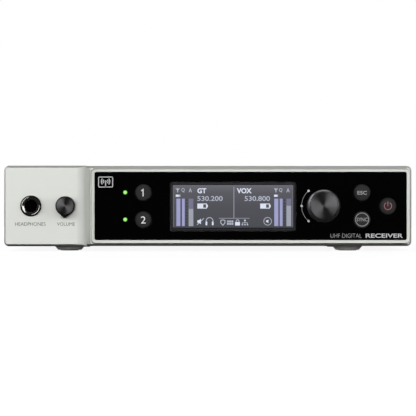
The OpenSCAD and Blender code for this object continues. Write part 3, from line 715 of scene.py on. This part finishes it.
class RECEIVER_stage_settings(bpy.types.PropertyGroup):
    """Camera, lights and floor."""

    distance: length("Camera distance", "From the headphone block's face to the camera", 1.2)
    focal: bpy.props.FloatProperty(
        name="Focal length", description="Focal length of the lens in millimetres", default=200.95)
    side_shift: length("Camera offset", "X of the camera", -0.27 * MM)
    height: length("Camera height", "Z of the camera", 22.44 * MM)
    front_light: power("Front light", "Power of the large light behind the camera", 28.2)
    side_light: power("Side lights", "Power of the left one of the large lights beside the camera", 23.9)
    rear_light: power("Rear light", "Power of the low light behind the object", 56.0)
    top_light: power("Top light", "Power of the large light above the object", 2.2)
    reflector: bpy.props.FloatProperty(
        name="Reflectors", description="Radiance of the white panels that show as reflections in metal",
        default=1.3)


# ---------- Operators ----------


class RECEIVER_OT_case(bpy.types.Operator):
    """Make the tray, cover, bezel and rear panel with rounded edges, and the pads of the feet."""

    bl_idname = "receiver.case"
    bl_label = "Case"

    def execute(self, context):
        edge = context.scene.receiver_case.edge
        for node in ("base_tray", "top_cover", "rear_panel"):
            softened(node, edge)
        softened("front_bezel", edge * 0.7, 3)
        self.block_flank()
        low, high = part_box("foot_pads")
        middle_z = (low.z + high.z) / 2
        radius = 4.75 * MM
        points = [(x, y, middle_z) for x in (low.x + radius, high.x - radius)
                  for y in (low.y + radius, high.y - radius)]
        grown("foot_pads_moulded", pad_tree(), {"Radius": radius, "Thickness": high.z - low.z}, "soft_rubber",
              points, replaces=("foot_pads",))
        return {"FINISHED"}

    def block_flank(self):
        """The slope that runs from the block's round edge back to the foot of the panel's rim."""
        low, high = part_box("front_bezel")
        bottom, top = low.z + FRONT_BEVEL, high.z - FRONT_BEVEL
        edge, foot = (-63.6 * MM, -83.21 * MM), (-61.56 * MM, -77.55 * MM)
        inner = edge[0] - 0.4 * MM
        shape = bmesh.new()
        loft(shape, [([(inner, bottom), (x, bottom), (x, top), (inner, top)], y) for x, y in (edge, foot)])
        piece("block_flank", shape, "light_grey_paint")


class RECEIVER_OT_case_lettering(bpy.types.Operator):
    """Print the plain words beside the sockets on the block and at the rear."""

    bl_idname = "receiver.case_lettering"
    bl_label = "Case lettering"

    def execute(self, context):
        ink = print_ink("screen_print_grey", context.scene.receiver_case.ink)
        height = context.scene.receiver_panel.ink_height
        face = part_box("front_bezel")[0].y
        shape = bmesh.new()
        below, tall = 9.35 * MM, 1.8 * MM
        for word, node, shift, width in (("HEADPHONES", "headphone_nut", -0.3 * MM, 15.7 * MM),
                                         ("VOLUME", "volume_shaft", 0, 9.2 * MM)):
            x, z = axis_of(node)
            lettering(shape, word, (x + shift, z - below), width, tall, face - height, face, -0.006)
        piece("block_lettering", shape, "light_grey_paint", material=ink)
        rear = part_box("rear_panel")[1].y
        shape = bmesh.new()
        words = (("ANT 1", -80.0, 31.5, 8.0), ("ANT 2", 80.0, 31.5, 8.0), ("OUT 1", -28.0, 41.0, 7.5),
                 ("OUT 2", 19.0, 41.0, 7.5), ("NETWORK", 57.2, 26.0, 12.0), ("DC", 74.0, 23.5, 3.4))
        for word, x, z, width in words:
            lettering(shape, word, (x * MM, z * MM), width * MM, 1.9 * MM, rear, rear + height, rear=True)
        piece("rear_lettering", shape, "light_grey_paint", material=ink)
        return {"FINISHED"}


class RECEIVER_OT_black_panel(bpy.types.Operator):
    """Make the black panel and display frame, and print the marks on the panel."""

    bl_idname = "receiver.black_panel"
    bl_label = "Black panel"

    def execute(self, context):
        settings = context.scene.receiver_panel
        softened("black_panel", 0.12 * MM)
        softened("display_frame", 0.18 * MM, 3)
        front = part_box("black_panel")[0].y
        print_y = front - settings.ink_height
        middle = axis_of("encoder_body")
        shape, fine = bmesh.new(), bmesh.new()
        half = math.degrees(settings.arc_half_angle)
        curve = arc((middle[0] - 0.7 * MM, middle[1]), settings.arc_radius, 180 - half, 180 + half, 40)
        stroke(fine, curve, 0.24 * MM, print_y, front)
        for point in (curve[0], curve[len(curve) // 2], curve[-1]):
            disc(shape, point, 0.62 * MM, print_y - 0.002 * MM, front)
        self.badge(shape, print_y, front)
        low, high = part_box("black_panel")
        line, tall = low.z + 2.25 * MM, 2.2 * MM
        for target, word, inwards, width, weight in ((fine, "UHF DIGITAL", 31.45, 16.2, -0.016),
                                                     (shape, "RECEIVER", 11.6, 19.3, 0.018)):
            middle = (high.x - inwards * MM, line)
            lettering(target, word, middle, width * MM, tall, print_y, front, weight)
        piece("panel_print", shape, "black_gloss_panel",
              material=print_ink("screen_print_silver", settings.ink))
        piece("panel_fine_print", fine, "black_gloss_panel",
              material=print_ink("screen_print_dim_silver", settings.faint_ink))
        self.frame_line()
        return {"FINISHED"}

    def frame_line(self):
        """A fine raised lip round the display frame, coloured lighter than the frame as a painted highlight
        along its edge.
        """
        low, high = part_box("display_frame")
        cut = 0.75 * MM
        outline = rounded_rectangle((low.x + cut, low.z + cut), (high.x - cut, high.z - cut), 0.9 * MM)
        shape = bmesh.new()
        stroke(shape, outline, 0.4 * MM, low.y - 0.04 * MM, low.y + 0.1 * MM, closed=True)
        # The lip's lighter colour is a painted highlight where the frame's edge catches the light.
        piece("display_frame_lip", shape, "display_bezel_plastic",
              material=moulded_plastic("moulded_abs_painted_highlight_edge", "#2B2C30", 0.45))

    def badge(self, shape, front, back):
        """A plain badge in the upper left corner: a frame round a mast with two waves."""
        low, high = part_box("black_panel")
        left, top = low.x + 1.8 * MM, high.z - 2.4 * MM
        box_low, box_high = (left, top - 5.7 * MM), (left + 7.8 * MM, top)
        inset = 0.25 * MM
        outline = rounded_rectangle((box_low[0] + inset, box_low[1] + inset),
                                    (box_high[0] - inset, box_high[1] - inset), 0.5 * MM, 4)
        stroke(shape, outline, 0.45 * MM, front, back, closed=True)
        foot = ((box_low[0] + box_high[0]) / 2, box_low[1] + 0.85 * MM)
        tip = (foot[0], foot[1] + 2.3 * MM)
        stroke(shape, [foot, tip], 0.55 * MM, front, back)
        disc(shape, tip, 0.55 * MM, front, back)
        for radius in (1.3 * MM, 2.2 * MM):
            for turn in (0, 180):
                stroke(shape, arc(tip, radius, turn - 42, turn + 42, 12), 0.5 * MM, front, back)


class RECEIVER_OT_display(bpy.types.Operator):
    """Make the lit display and everything that it shows."""

    bl_idname = "receiver.display"
    bl_label = "Display"

    def execute(self, context):
        softened("display_glass", 0.1 * MM)
        low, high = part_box("display_glass")
        self.left, self.top, self.back = low.x, high.z, low.y
        self.front = self.back - 0.03 * MM
        self.text_shapes(context.scene.receiver_display)
        self.level_shapes(context.scene.receiver_display)
        return {"FINISHED"}

    def at(self, across, down):
        """A point on the display, in millimetres from its upper left corner."""
        return self.left + across * MM, self.top - down * MM

    def box(self, shape, left, top, right, bottom, radius=0.0):
        """A filled rectangle between two corners in display millimetres."""
        low, high = self.at(left, bottom), self.at(right, top)
        if radius:
            outline = rounded_rectangle(low, high, radius * MM, 4)
        else:
            outline = [low, (high[0], low[1]), high, (low[0], high[1])]
        plate(shape, outline, self.front, self.back)

    def line(self, shape, points, width, closed=False):
        """A line through points in display millimetres."""
        stroke(shape, [self.at(*p) for p in points], width * MM, self.front, self.back, closed)

    def words(self, shape, text, left, top, right, bottom, weight=0.0):
        """Text that fills a rectangle in display millimetres."""
        middle = self.at((left + right) / 2, (top + bottom) / 2)
        wide, tall = (right - left) * MM, (bottom - top) * MM
        lettering(shape, text, middle, wide, tall, self.front, self.back, weight)

    def bow(self, across, down, wide, tall, turns):
        """Points on an oval in display millimetres, at these angles in degrees."""
        return [(across + wide * math.cos(t), down - tall * math.sin(t)) for t in map(math.radians, turns)]

    def lit(self, name, shape, material, colour):
        """Finishes a shape as a lit part of the display."""
        piece(name, shape, "display_glass", material=lit_colour(material, colour))

    def speaker(self, shape, across, down, size):
        """A small loudspeaker that faces right."""
        points = ((-1.0, -0.5), (-0.35, -0.5), (0.45, -1.15), (0.45, 1.15), (-0.35, 0.5), (-1.0, 0.5))
        plate(shape, [self.at(across + x * size, down + z * size) for x, z in points], self.front, self.back)

    def text_shapes(self, colours):
        """Names, frequencies, batteries and symbols."""
        shape, fine = bmesh.new(), bmesh.new()
        for name, left, right in (("GT", 12.75, 17.4), ("VOX", 33.3, 41.0)):
            self.words(shape, name, left, 1.6, right, 4.3, 0.03)
        for number, left in (("530.200", 12.7), ("530.800", 37.3)):
            self.words(fine, number, left, 5.7, left + 13.2, 8.25, 0.012)
        for left in (12.75, 45.45):
            self.box(shape, left, 9.6, left + 3.05, 12.2)
            end = ((2.95, 9.8), (4.75, 9.8), (4.75, 12.0), (2.95, 12.0))
            self.line(shape, [(left + x, z) for x, z in end], 0.42)
            self.box(shape, left + 4.9, 10.2, left + 5.45, 11.6)
        self.speaker(shape, 14.0, 18.9, 1.25)
        self.line(fine, [(12.6, 20.6), (16.1, 17.3)], 0.4)
        arch = self.bow(19.1, 18.6, 1.75, 1.7, range(0, 181, 15))
        self.line(fine, [(20.85, 19.6)] + arch + [(17.35, 19.6)], 0.38)
        for left in (17.0, 20.3):
            self.box(shape, left, 18.95, left + 0.9, 20.9, 0.3)
        shield = ((-1.1, 0.35), (0, 0), (1.1, 0.35), (1.05, 1.7), (0, 2.85), (-1.05, 1.7))
        self.line(fine, [(26.0 + x, 18.05 + z) for x, z in shield], 0.42, True)
        for column in range(3):
            for row in range(2):
                left, top = 28.2 + column * 1.15, 18.4 + row * 1.25
                self.box(fine, left, top, left + 0.92, top + 1.0)
        self.box(shape, 32.4, 19.2, 34.9, 21.0, 0.2)
        shackle = self.bow(33.65, 18.75, 0.75, 0.75, range(0, 181, 20))
        self.line(fine, [(34.4, 19.3)] + shackle + [(32.9, 19.3)], 0.4)
        self.line(fine, [(37.5, 18.4), (37.5, 19.6)], 0.28)
        self.line(fine, [(36.2, 20.3), (36.2, 19.6), (38.8, 19.6), (38.8, 20.3)], 0.28)
        disc(shape, self.at(37.5, 18.35), 0.42 * MM, self.front, self.back, 12)
        for across in (36.2, 37.5, 38.8):
            disc(fine, self.at(across, 20.55), 0.42 * MM, self.front, self.back, 12)
        self.line(fine, self.bow(49.3, 18.8, 2.0, -2.0, range(0, 360, 12)), 0.3, True)
        self.speaker(shape, 49.3, 18.8, 0.85)
        for left, dim in ((1.5, 0.9), (52.65, 0.55)):
            self.box(shape, left, 4.95, left + 1.5, 6.1)
            self.box(fine, left + 1.5, 4.95, left + 1.5 + dim, 6.1)
        for letter, across in (("Q", 5.3), ("A", 9.1), ("Q", 56.1), ("A", 59.9)):
            self.words(fine, letter, across - 0.85, 1.6, across + 0.85, 3.8, 0.01)
        for across in (2.5, 53.6):
            self.line(fine, [(across - 0.95, 1.6), (across, 2.7), (across + 0.95, 1.6)], 0.34)
            self.line(fine, [(across, 1.6), (across, 3.8)], 0.46)
        self.lit("display_words", shape, "lit_crystal_white", colours.bright)
        self.lit("display_fine_words", fine, "lit_crystal_pale", colours.pale)

    def level_shapes(self, colours):
        """Signal bars, audio meters with their scales, dividing lines and the glow along the edge."""
        bars, meters, rests, rules, glow = [bmesh.new() for _ in range(5)]
        for left, wide in ((1.85, 2.05), (4.73, 1.45), (52.75, 2.1), (55.6, 1.47)):
            self.box(bars, left, 7.05, left + wide, 21.3)
        for left, full in ((8.22, 12.4), (59.08, 10.75)):
            self.box(meters, left, full, left + 2.44, 21.35)
            self.box(rests, left, 7.05, left + 2.44, full)
        self.line(rules, [(23.9, 17.25), (39.9, 17.25)], 0.32)
        self.line(rules, [(31.75, 0.9), (31.75, 17.2)], 0.42)
        self.line(glow, [(0.42, 21.6), (0.42, 0.3), (62.25, 0.3), (62.25, 21.6)], 0.45)
        self.lit("display_signal_bars", bars, "lit_crystal_lavender", colours.bars)
        self.lit("display_meters", meters, "lit_crystal_grey", "#A2A7B3")
        self.lit("display_meter_rests", rests, "lit_crystal_slate", "#7A7991")
        self.lit("display_rules", rules, "lit_crystal_dim_grey", "#9A9AA8")
        self.lit("display_edge_glow", glow, "lit_glass_edge", "#706F78")
        ticks, deep = row_tree(), self.back - self.front
        unlit = lit_colour("unlit_crystal", "#414149")
        for name, across in (("left", 7.2), ("right", 58.1)):
            x, z = self.at(across, 7.9)
            grown("display_scale_" + name, ticks, {
                "Start": (x, (self.front + self.back) / 2, z), "Step": (0, 0, -1.62 * MM), "Count": 9,
                "Block": (0.75 * MM, deep, 0.8 * MM)}, "display_glass", material=unlit)


class RECEIVER_OT_keys(bpy.types.Operator):
    """Make the five push keys with their symbols."""

    bl_idname = "receiver.keys"
    bl_label = "Push keys"

    def execute(self, context):
        self.settings = context.scene.receiver_control
        white = print_ink("screen_print_white", "#F2F2F2")
        grey = print_ink("screen_print_pale_grey", "#AEAFB1")
        red = print_ink("screen_print_rose", "#D0868F")
        for node in ("channel_1_button", "channel_2_button", "escape_button", "sync_button", "power_button"):
            self.key(node)
        high = self.settings.numeral_height
        self.symbol("channel_1_button", white, self.figure_one)
        self.symbol("channel_2_button", white, lambda s, m, f, b: lettering(
            s, "2", (m[0], m[1] - 0.2 * MM), 2.5 * MM, high, f, b))
        self.symbol("escape_button", grey, lambda s, m, f, b: lettering(
            s, "ESC", (m[0], m[1] - 0.2 * MM), 4.9 * MM, 1.9 * MM, f, b, 0.015))
        self.symbol("sync_button", grey, self.sync_symbol)
        self.symbol("power_button", red, self.power_symbol)
        return {"FINISHED"}

    def key(self, node):
        """One key: a crowned cap with a rolled rim, the flange that retains it and its stem."""
        low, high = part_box(node)
        radius, crown = self.settings.key_radius, self.settings.key_crown
        flange, stem, flange_back = (high.x - low.x) / 2, 1.5 * MM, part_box("black_panel")[1].y + 0.95 * MM
        flange_front = flange_back - 0.8 * MM
        front = low.y
        face = [(radius * 0.93 * t, front + crown * t * t) for t in (0, 0.2, 0.4, 0.6, 0.8, 1)]
        rest = [(radius, front + crown), (radius, flange_front), (flange, flange_front),
                (flange, flange_back), (stem, flange_back), (stem, high.y), (0, high.y)]
        shape = bmesh.new()
        lathe(shape, face[:-1] + filleted([face[-1]] + rest, 0.34 * MM, 4), axis_of(node))
        piece(node + "_cap", shape, "key_plastic", body_of(node), (node,))

    def symbol(self, node, material, draw):
        """The print on one key."""
        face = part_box(node)[0].y
        shape = bmesh.new()
        draw(shape, axis_of(node), face - 0.02 * MM, face + 0.12 * MM)
        piece(node + "_symbol", shape, "key_plastic", body_of(node), material=material)

    def figure_one(self, shape, middle, front, back):
        """A one with a short flag."""
        half = self.settings.numeral_height / 2
        points = [(-1.0 * MM, half * 0.5), (-0.1 * MM, half * 0.93), (-0.1 * MM, -half)]
        stroke(shape, [(middle[0] + x, middle[1] + z - 0.2 * MM) for x, z in points], 0.55 * MM, front, back)

    def sync_symbol(self, shape, middle, front, back):
        """A ring round the word."""
        stroke(shape, arc(middle, 3.4 * MM, 0, 360, 64)[:-1], 0.36 * MM, front, back, closed=True)
        lettering(shape, "SYNC", middle, 5.7 * MM, 1.9 * MM, front, back, 0.012)

    def power_symbol(self, shape, middle, front, back):
        """A ring that is open at the top, with an upright line."""
        x, z = middle
        for points in (arc(middle, 1.9 * MM, 118, 422, 40), [(x, z - 0.1 * MM), (x, z + 2.4 * MM)]):
            stroke(shape, points, 0.28 * MM, front, back)


class RECEIVER_OT_status_lamps(bpy.types.Operator):
    """Make the domed lenses of the two status lamps."""

    bl_idname = "receiver.status_lamps"
    bl_label = "Status lamps"

    def execute(self, context):
        flange, front, back = turned("light_pipes")
        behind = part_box("black_panel")[1].y
        radius = 1.15 * MM
        shape = bmesh.new()
        dome = [(radius * math.sin(t), front + 0.35 * MM * (1 - math.cos(t)))
                for t in (math.radians(a) for a in range(0, 91, 15))]
        rest = [(radius, behind), (flange, behind), (flange, behind + 1 * MM), (radius, behind + 1 * MM),
                (radius, back), (0, back)]
        for place in lamp_places():
            lathe(shape, dome + rest, place, 40)
        piece("light_pipes_domed", shape, "led_lens", replaces=("light_pipes",))
        return {"FINISHED"}


class RECEIVER_OT_menu_dial(bpy.types.Operator):
    """Turn the menu dial: a dark grey sleeve and a spun face plate let into it."""

    bl_idname = "receiver.menu_dial"
    bl_label = "Menu dial"

    def execute(self, context):
        radius, front, back = turned("menu_dial")
        bore, recess, seat = 3.02 * MM, 4.3 * MM, 7.3 * MM
        bore_end, recess_end, seat_end = back - 8 * MM, back - 2 * MM, front + 0.8 * MM
        outline = [(bore, recess_end), (recess, recess_end), (recess, back), (radius, back),
                   (radius, front + 1.0 * MM), (radius - 0.75 * MM, front + 0.15 * MM),
                   (seat + 0.05 * MM, front), (seat, seat_end), (0, seat_end)]
        shape = bmesh.new()
        inner = [(0, bore_end), (bore, bore_end)]
        lathe(shape, inner + filleted(outline, 0.3 * MM, 4), axis_of("menu_dial"), 128)
        piece("menu_dial_sleeve", shape, "black_anodised_aluminium", body_of("menu_dial"), ("menu_dial",),
              plated_metal("anodised_aluminium_dark_grey", "#A2A2A6", 0.3))
        spun_face("menu_dial_face", "menu_dial_cap", "menu_dial", (0.12, 0.11, 0.16, 0.2), 0.9, 128)
        return {"FINISHED"}


class RECEIVER_OT_volume_knob(bpy.types.Operator):
    """Make the volume knob with its nose and spun face plate."""

    bl_idname = "receiver.volume_knob"
    bl_label = "Volume knob"

    def execute(self, context):
        low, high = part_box("volume_knob")
        middle = x, z = axis_of("volume_shaft")
        radius, reach = high.x - x, z - low.z
        front, back = low.y, high.y
        rings = [(self.outline(middle, radius - cut, reach - cut * 1.3), y) for cut, y in (
            (0.62 * MM, front), (0.3 * MM, front + 0.14 * MM), (0.08 * MM, front + 0.36 * MM),
            (0, front + 0.7 * MM), (0, back - 0.3 * MM), (0.2 * MM, back))]
        shape = bmesh.new()
        loft(shape, rings)
        piece("volume_knob_sleeve", shape, "black_anodised_aluminium", body_of("volume_knob"),
              ("volume_knob",))
        # The knob's face is a darker copy of the dial's spun metal: painted shade that keeps it dimmer than
        # the dial under the same reflectors.
        spun_face("volume_knob_face", "volume_knob_cap", "volume_shaft", (0.08, 0.08, 0.13, 0.15), 0.92, 96,
                  spun_metal("spun_anodised_aluminium_painted_shade", "#7C7C7D", 0.42))
        return {"FINISHED"}

    def outline(self, middle, radius, reach):
        """Circle with a rounded nose that points almost straight down, as the frame's does."""
        tip = 0.8 * MM
        away = reach - tip
        meet = math.degrees(math.acos((radius - tip) / away))
        turn = -90 - 3
        round_part = arc(middle, radius, turn + meet, turn + 360 - meet, 96)
        nose = arc(middle, away, turn, turn, 1)[0]
        return round_part + arc(nose, tip, turn - meet, turn + meet, 16)


class RECEIVER_OT_headphone_socket(bpy.types.Operator):
    """Make the polished socket mouth, its black ring nut and the moulded body behind it."""

    bl_idname = "receiver.headphone_socket"
    bl_label = "Headphone socket"

    def execute(self, context):
        middle, bore = axis_of("headphone_bushing"), 3.25 * MM
        outer, front, back = turned("headphone_bushing")
        rim, throat, slope = outer - 0.25 * MM, bore + 0.1 * MM, 0.6
        profile = [(outer, back), (outer, front), (rim, front), (throat, front + slope * (rim - throat)),
                   (bore, back)]
        shape = bmesh.new()
        mouth = filleted(profile, 0.08 * MM, 2, closed=True)
        lathe(shape, mouth + mouth[:1], middle, 96)
        piece("headphone_bushing_polished", shape, "nickel_plate", replaces=("headphone_bushing",))
        radius, front, back = turned("headphone_nut")
        inner = 4.72 * MM
        ring = filleted([(inner, back), (inner, front + 0.15 * MM), (inner + 0.15 * MM, front),
                         (radius - 0.3 * MM, front), (radius, front + 0.3 * MM), (radius, back)],
                        0.12 * MM, 3, closed=True)
        shape = bmesh.new()
        lathe(shape, ring + ring[:1], middle, 96)
        piece("headphone_nut_ring", shape, "black_oxide_steel", replaces=("headphone_nut",))
        softened("headphone_jack", 0.2 * MM)
        return {"FINISHED"}


class RECEIVER_OT_rear_sockets(bpy.types.Operator):
    """Round the edges of everything that stands on the rear panel."""

    bl_idname = "receiver.rear_sockets"
    bl_label = "Rear sockets"

    def execute(self, context):
        for node, width in (("antenna_sockets", 0.12), ("antenna_nuts", 0.15), ("antenna_insulators", 0.08),
                            ("xlr_shells", 0.2), ("xlr_inserts", 0.15), ("socket_pins", 0.08),
                            ("output_jacks", 0.2), ("output_jack_bushings", 0.1), ("output_jack_nuts", 0.2),
                            ("socket_screws", 0.15), ("ethernet_socket", 0.12), ("dc_inlet", 0.2),
                            ("dc_pin", 0.1), ("cable_hook", 0.3)):
            softened(node, width * MM)
        low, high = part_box("ethernet_contacts")
        count = 8
        pitch = (high.x - low.x - 0.4 * MM) / (count - 1)
        grown("network_contacts", row_tree(), {
            "Start": (low.x + 0.2 * MM, (low.y + high.y) / 2, (low.z + high.z) / 2), "Step": (pitch, 0, 0),
            "Count": count, "Block": (0.4 * MM, high.y - low.y, high.z - low.z)}, "gold_plate",
            replaces=("ethernet_contacts",))
        return {"FINISHED"}


class RECEIVER_OT_case_screws(bpy.types.Operator):
    """Put the countersunk screws into the sides, top and underside."""

    bl_idname = "receiver.case_screws"
    bl_label = "Case screws"

    def execute(self, context):
        low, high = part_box("case_screws")
        flange_y = high.y - 2.65 * MM
        points, facings = [], []
        for end, x in ((-1, low.x), (1, high.x)):
            points += [(x, y, 19 * MM) for y in (-10 * MM, 60 * MM)]
            facings += [(end, 0, 0)] * 2
        for end, z in ((-1, low.z), (1, high.z)):
            points += [(x, flange_y, z) for x in (-62 * MM, 62 * MM)]
            facings += [(0, 0, end)] * 2
        grown("case_screws_countersunk", screw_tree(), {}, "black_oxide_steel", points, facings,
              replaces=("case_screws",))
        return {"FINISHED"}


class RECEIVER_OT_inside(bpy.types.Operator):
    """Give the frame's own nodes that still show, or sit inside, their finishes."""

    bl_idname = "receiver.inside"
    bl_label = "Inner parts"

    def execute(self, context):
        for name, node in frame["nodes"].items():
            node.data.materials.clear()
            node.data.materials.append(finish(slot_of(name)))
        return {"FINISHED"}


class RECEIVER_OT_stage(bpy.types.Operator):
    """Set the floor, the soft lights, the background and the camera."""

    bl_idname = "receiver.stage"
    bl_label = "Stage"

    def execute(self, context):
        settings = context.scene.receiver_stage
        scene = context.scene
        scene.view_settings.view_transform = "Standard"
        target = Vector((0, 0, settings.height))
        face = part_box("front_bezel")[0].y
        lens = bpy.data.cameras.new("camera")
        lens.lens = settings.focal
        lens.sensor_width = 36
        lens.clip_start, lens.clip_end = 0.05, 50
        camera = bpy.data.objects.new("camera", lens)
        camera.location = (settings.side_shift, face - settings.distance, settings.height)
        camera.rotation_euler = (math.pi / 2, 0, 0)
        scene.collection.objects.link(camera)
        scene.camera = camera
        side, right_share = settings.side_light, 0.64
        for name, power, place, size in (
                ("front_light", settings.front_light, (0, -2.4, 0.38), (1.4, 0.8)),
                ("left_light", side, (-1.8, -1.1, 0.34), (1.4, 1.0)),
                ("right_light", side * right_share, (1.8, -1.1, 0.34), (1.4, 1.0)),
                ("rear_light", settings.rear_light, (0, 2.6, 0.3), (1.6, 0.5))):
            self.light(name, power, place, size, target, glossy=False)
        self.light("top_light", settings.top_light, (0, 0.1, 1.4), (1.2, 0.8), target)
        # The front two make the bow ties on the spun faces, the side one the arc on the dial's edge
        for name, share, place, size, facing in (
                ("left_reflector", 1.6, (-0.274, -0.42, 0.161), (0.252, 0.278), (0, 1, 0)),
                ("right_reflector", 1.0, (0.424, -0.42, 0.231), (0.552, 0.418), (0, 1, 0)),
                ("side_reflector", 0.8, (-0.7, 0.12, 0.5), (0.5, 1.0), (1, 0, 0)),
                ("rear_reflector", 1.0, (0, 0.9, 0.2), (1.2, 0.3), (0, -1, 0))):
            power = settings.reflector * share * WATTS * size[0] * size[1]
            self.light(name, power, place, size, Vector(place) + Vector(facing), diffuse=False)
        self.world(scene)
        self.floor(scene)
        return {"FINISHED"}

    def light(self, name, power, place, size, target, diffuse=True, glossy=True):
        """A soft light that looks at a point and may show only on matt or only on glossy faces."""
        data = bpy.data.lights.new(name, "AREA")
        data.shape = "RECTANGLE"
        data.size, data.size_y = size
        data.energy = power
        lamp = bpy.data.objects.new(name, data)
        lamp.visible_camera = False
        lamp.visible_diffuse = diffuse
        lamp.visible_glossy = glossy
        lamp.location = place
        lamp.rotation_euler = (target - Vector(place)).to_track_quat("-Z", "Y").to_euler()
        bpy.context.scene.collection.objects.link(lamp)

    def world(self, scene):
        """White background that lights the object only faintly."""
        world = bpy.data.worlds.new("white_background")
        world.use_nodes = True
        tree = world.node_tree
        tree.nodes.clear()
        seen = add(tree, "ShaderNodeLightPath").outputs["Is Camera Ray"]
        dim = add(tree, "ShaderNodeBackground", {"Color": (1, 1, 1, 1), "Strength": 0.02})
        white = add(tree, "ShaderNodeBackground", {"Color": (1, 1, 1, 1), "Strength": 1.0})
        mixed = add(tree, "ShaderNodeMixShader", links={0: seen, 1: dim.outputs[0], 2: white.outputs[0]})
        add(tree, "ShaderNodeOutputWorld", links={"Surface": mixed.outputs[0]})
        scene.world = world

    def floor(self, scene):
        """A pale floor that shows a faint shadow and throws no light back up."""
        half_width = 1.35
        shape = bmesh.new()
        bmesh.ops.create_grid(shape, x_segments=1, y_segments=1, size=half_width)
        mesh = bpy.data.meshes.new("floor")
        shape.to_mesh(mesh)
        shape.free()
        floor = bpy.data.objects.new("floor", mesh)
        scene.collection.objects.link(floor)
        material, tree, shader = surface("matt_white_floor", {
            "Base Color": linear("#8C8C8C"), "Roughness": 0.9, "Specular IOR Level": 0.0,
            "Emission Color": (1, 1, 1, 1)})
        place = add(tree, "ShaderNodeTexCoord").outputs["Object"]
        away = add(tree, "ShaderNodeVectorMath", {"operation": "LENGTH"}, {0: place}).outputs["Value"]
        glow = add(tree, "ShaderNodeMapRange", {"From Min": 0.2, "From Max": 1.2, "To Min": 0.9,
                                                "To Max": 1.0}, {"Value": away})
        tree.links.new(glow.outputs["Result"], shader.inputs["Emission Strength"])
        mesh.materials.append(material)
        floor.visible_diffuse = False
        floor.visible_glossy = False


SETTINGS = {
    "receiver_case": RECEIVER_case_settings,
    "receiver_panel": RECEIVER_panel_settings,
    "receiver_display": RECEIVER_display_settings,
    "receiver_control": RECEIVER_control_settings,
    "receiver_stage": RECEIVER_stage_settings,
}
OPERATORS = (
    RECEIVER_OT_case, RECEIVER_OT_case_lettering, RECEIVER_OT_black_panel, RECEIVER_OT_display,
    RECEIVER_OT_keys, RECEIVER_OT_status_lamps, RECEIVER_OT_menu_dial, RECEIVER_OT_volume_knob,
    RECEIVER_OT_headphone_socket, RECEIVER_OT_rear_sockets, RECEIVER_OT_case_screws,
    RECEIVER_OT_inside, RECEIVER_OT_stage,
)


class RECEIVER_PT_sidebar(bpy.types.Panel):
    """Lists the settings and the steps that make the receiver."""

    bl_idname = "RECEIVER_PT_sidebar"
    bl_label = "Receiver"
    bl_space_type = "VIEW_3D"
    bl_region_type = "UI"
    bl_category = "Receiver"

    def draw(self, context):
        for name, group in SETTINGS.items():
            box = self.layout.box()
            for setting in group.__annotations__:
                box.prop(getattr(context.scene, name), setting)
        for operator in OPERATORS:
            self.layout.operator(operator.bl_idname)


def register():
    for group in SETTINGS.values():
        bpy.utils.register_class(group)
    for name, group in SETTINGS.items():
        setattr(bpy.types.Scene, name, bpy.props.PointerProperty(type=group))
    for operator in OPERATORS:
        bpy.utils.register_class(operator)
    bpy.utils.register_class(RECEIVER_PT_sidebar)


def unregister():
    bpy.utils.unregister_class(RECEIVER_PT_sidebar)
    for operator in reversed(OPERATORS):
        bpy.utils.unregister_class(operator)
    for name in SETTINGS:
        delattr(bpy.types.Scene, name)
    for group in reversed(list(SETTINGS.values())):
        bpy.utils.unregister_class(group)


def main():
    register()
    for operator in OPERATORS:
        kind, name = operator.bl_idname.split(".")
        getattr(getattr(bpy.ops, kind), name)()


if __name__ == "__main__":
    main()
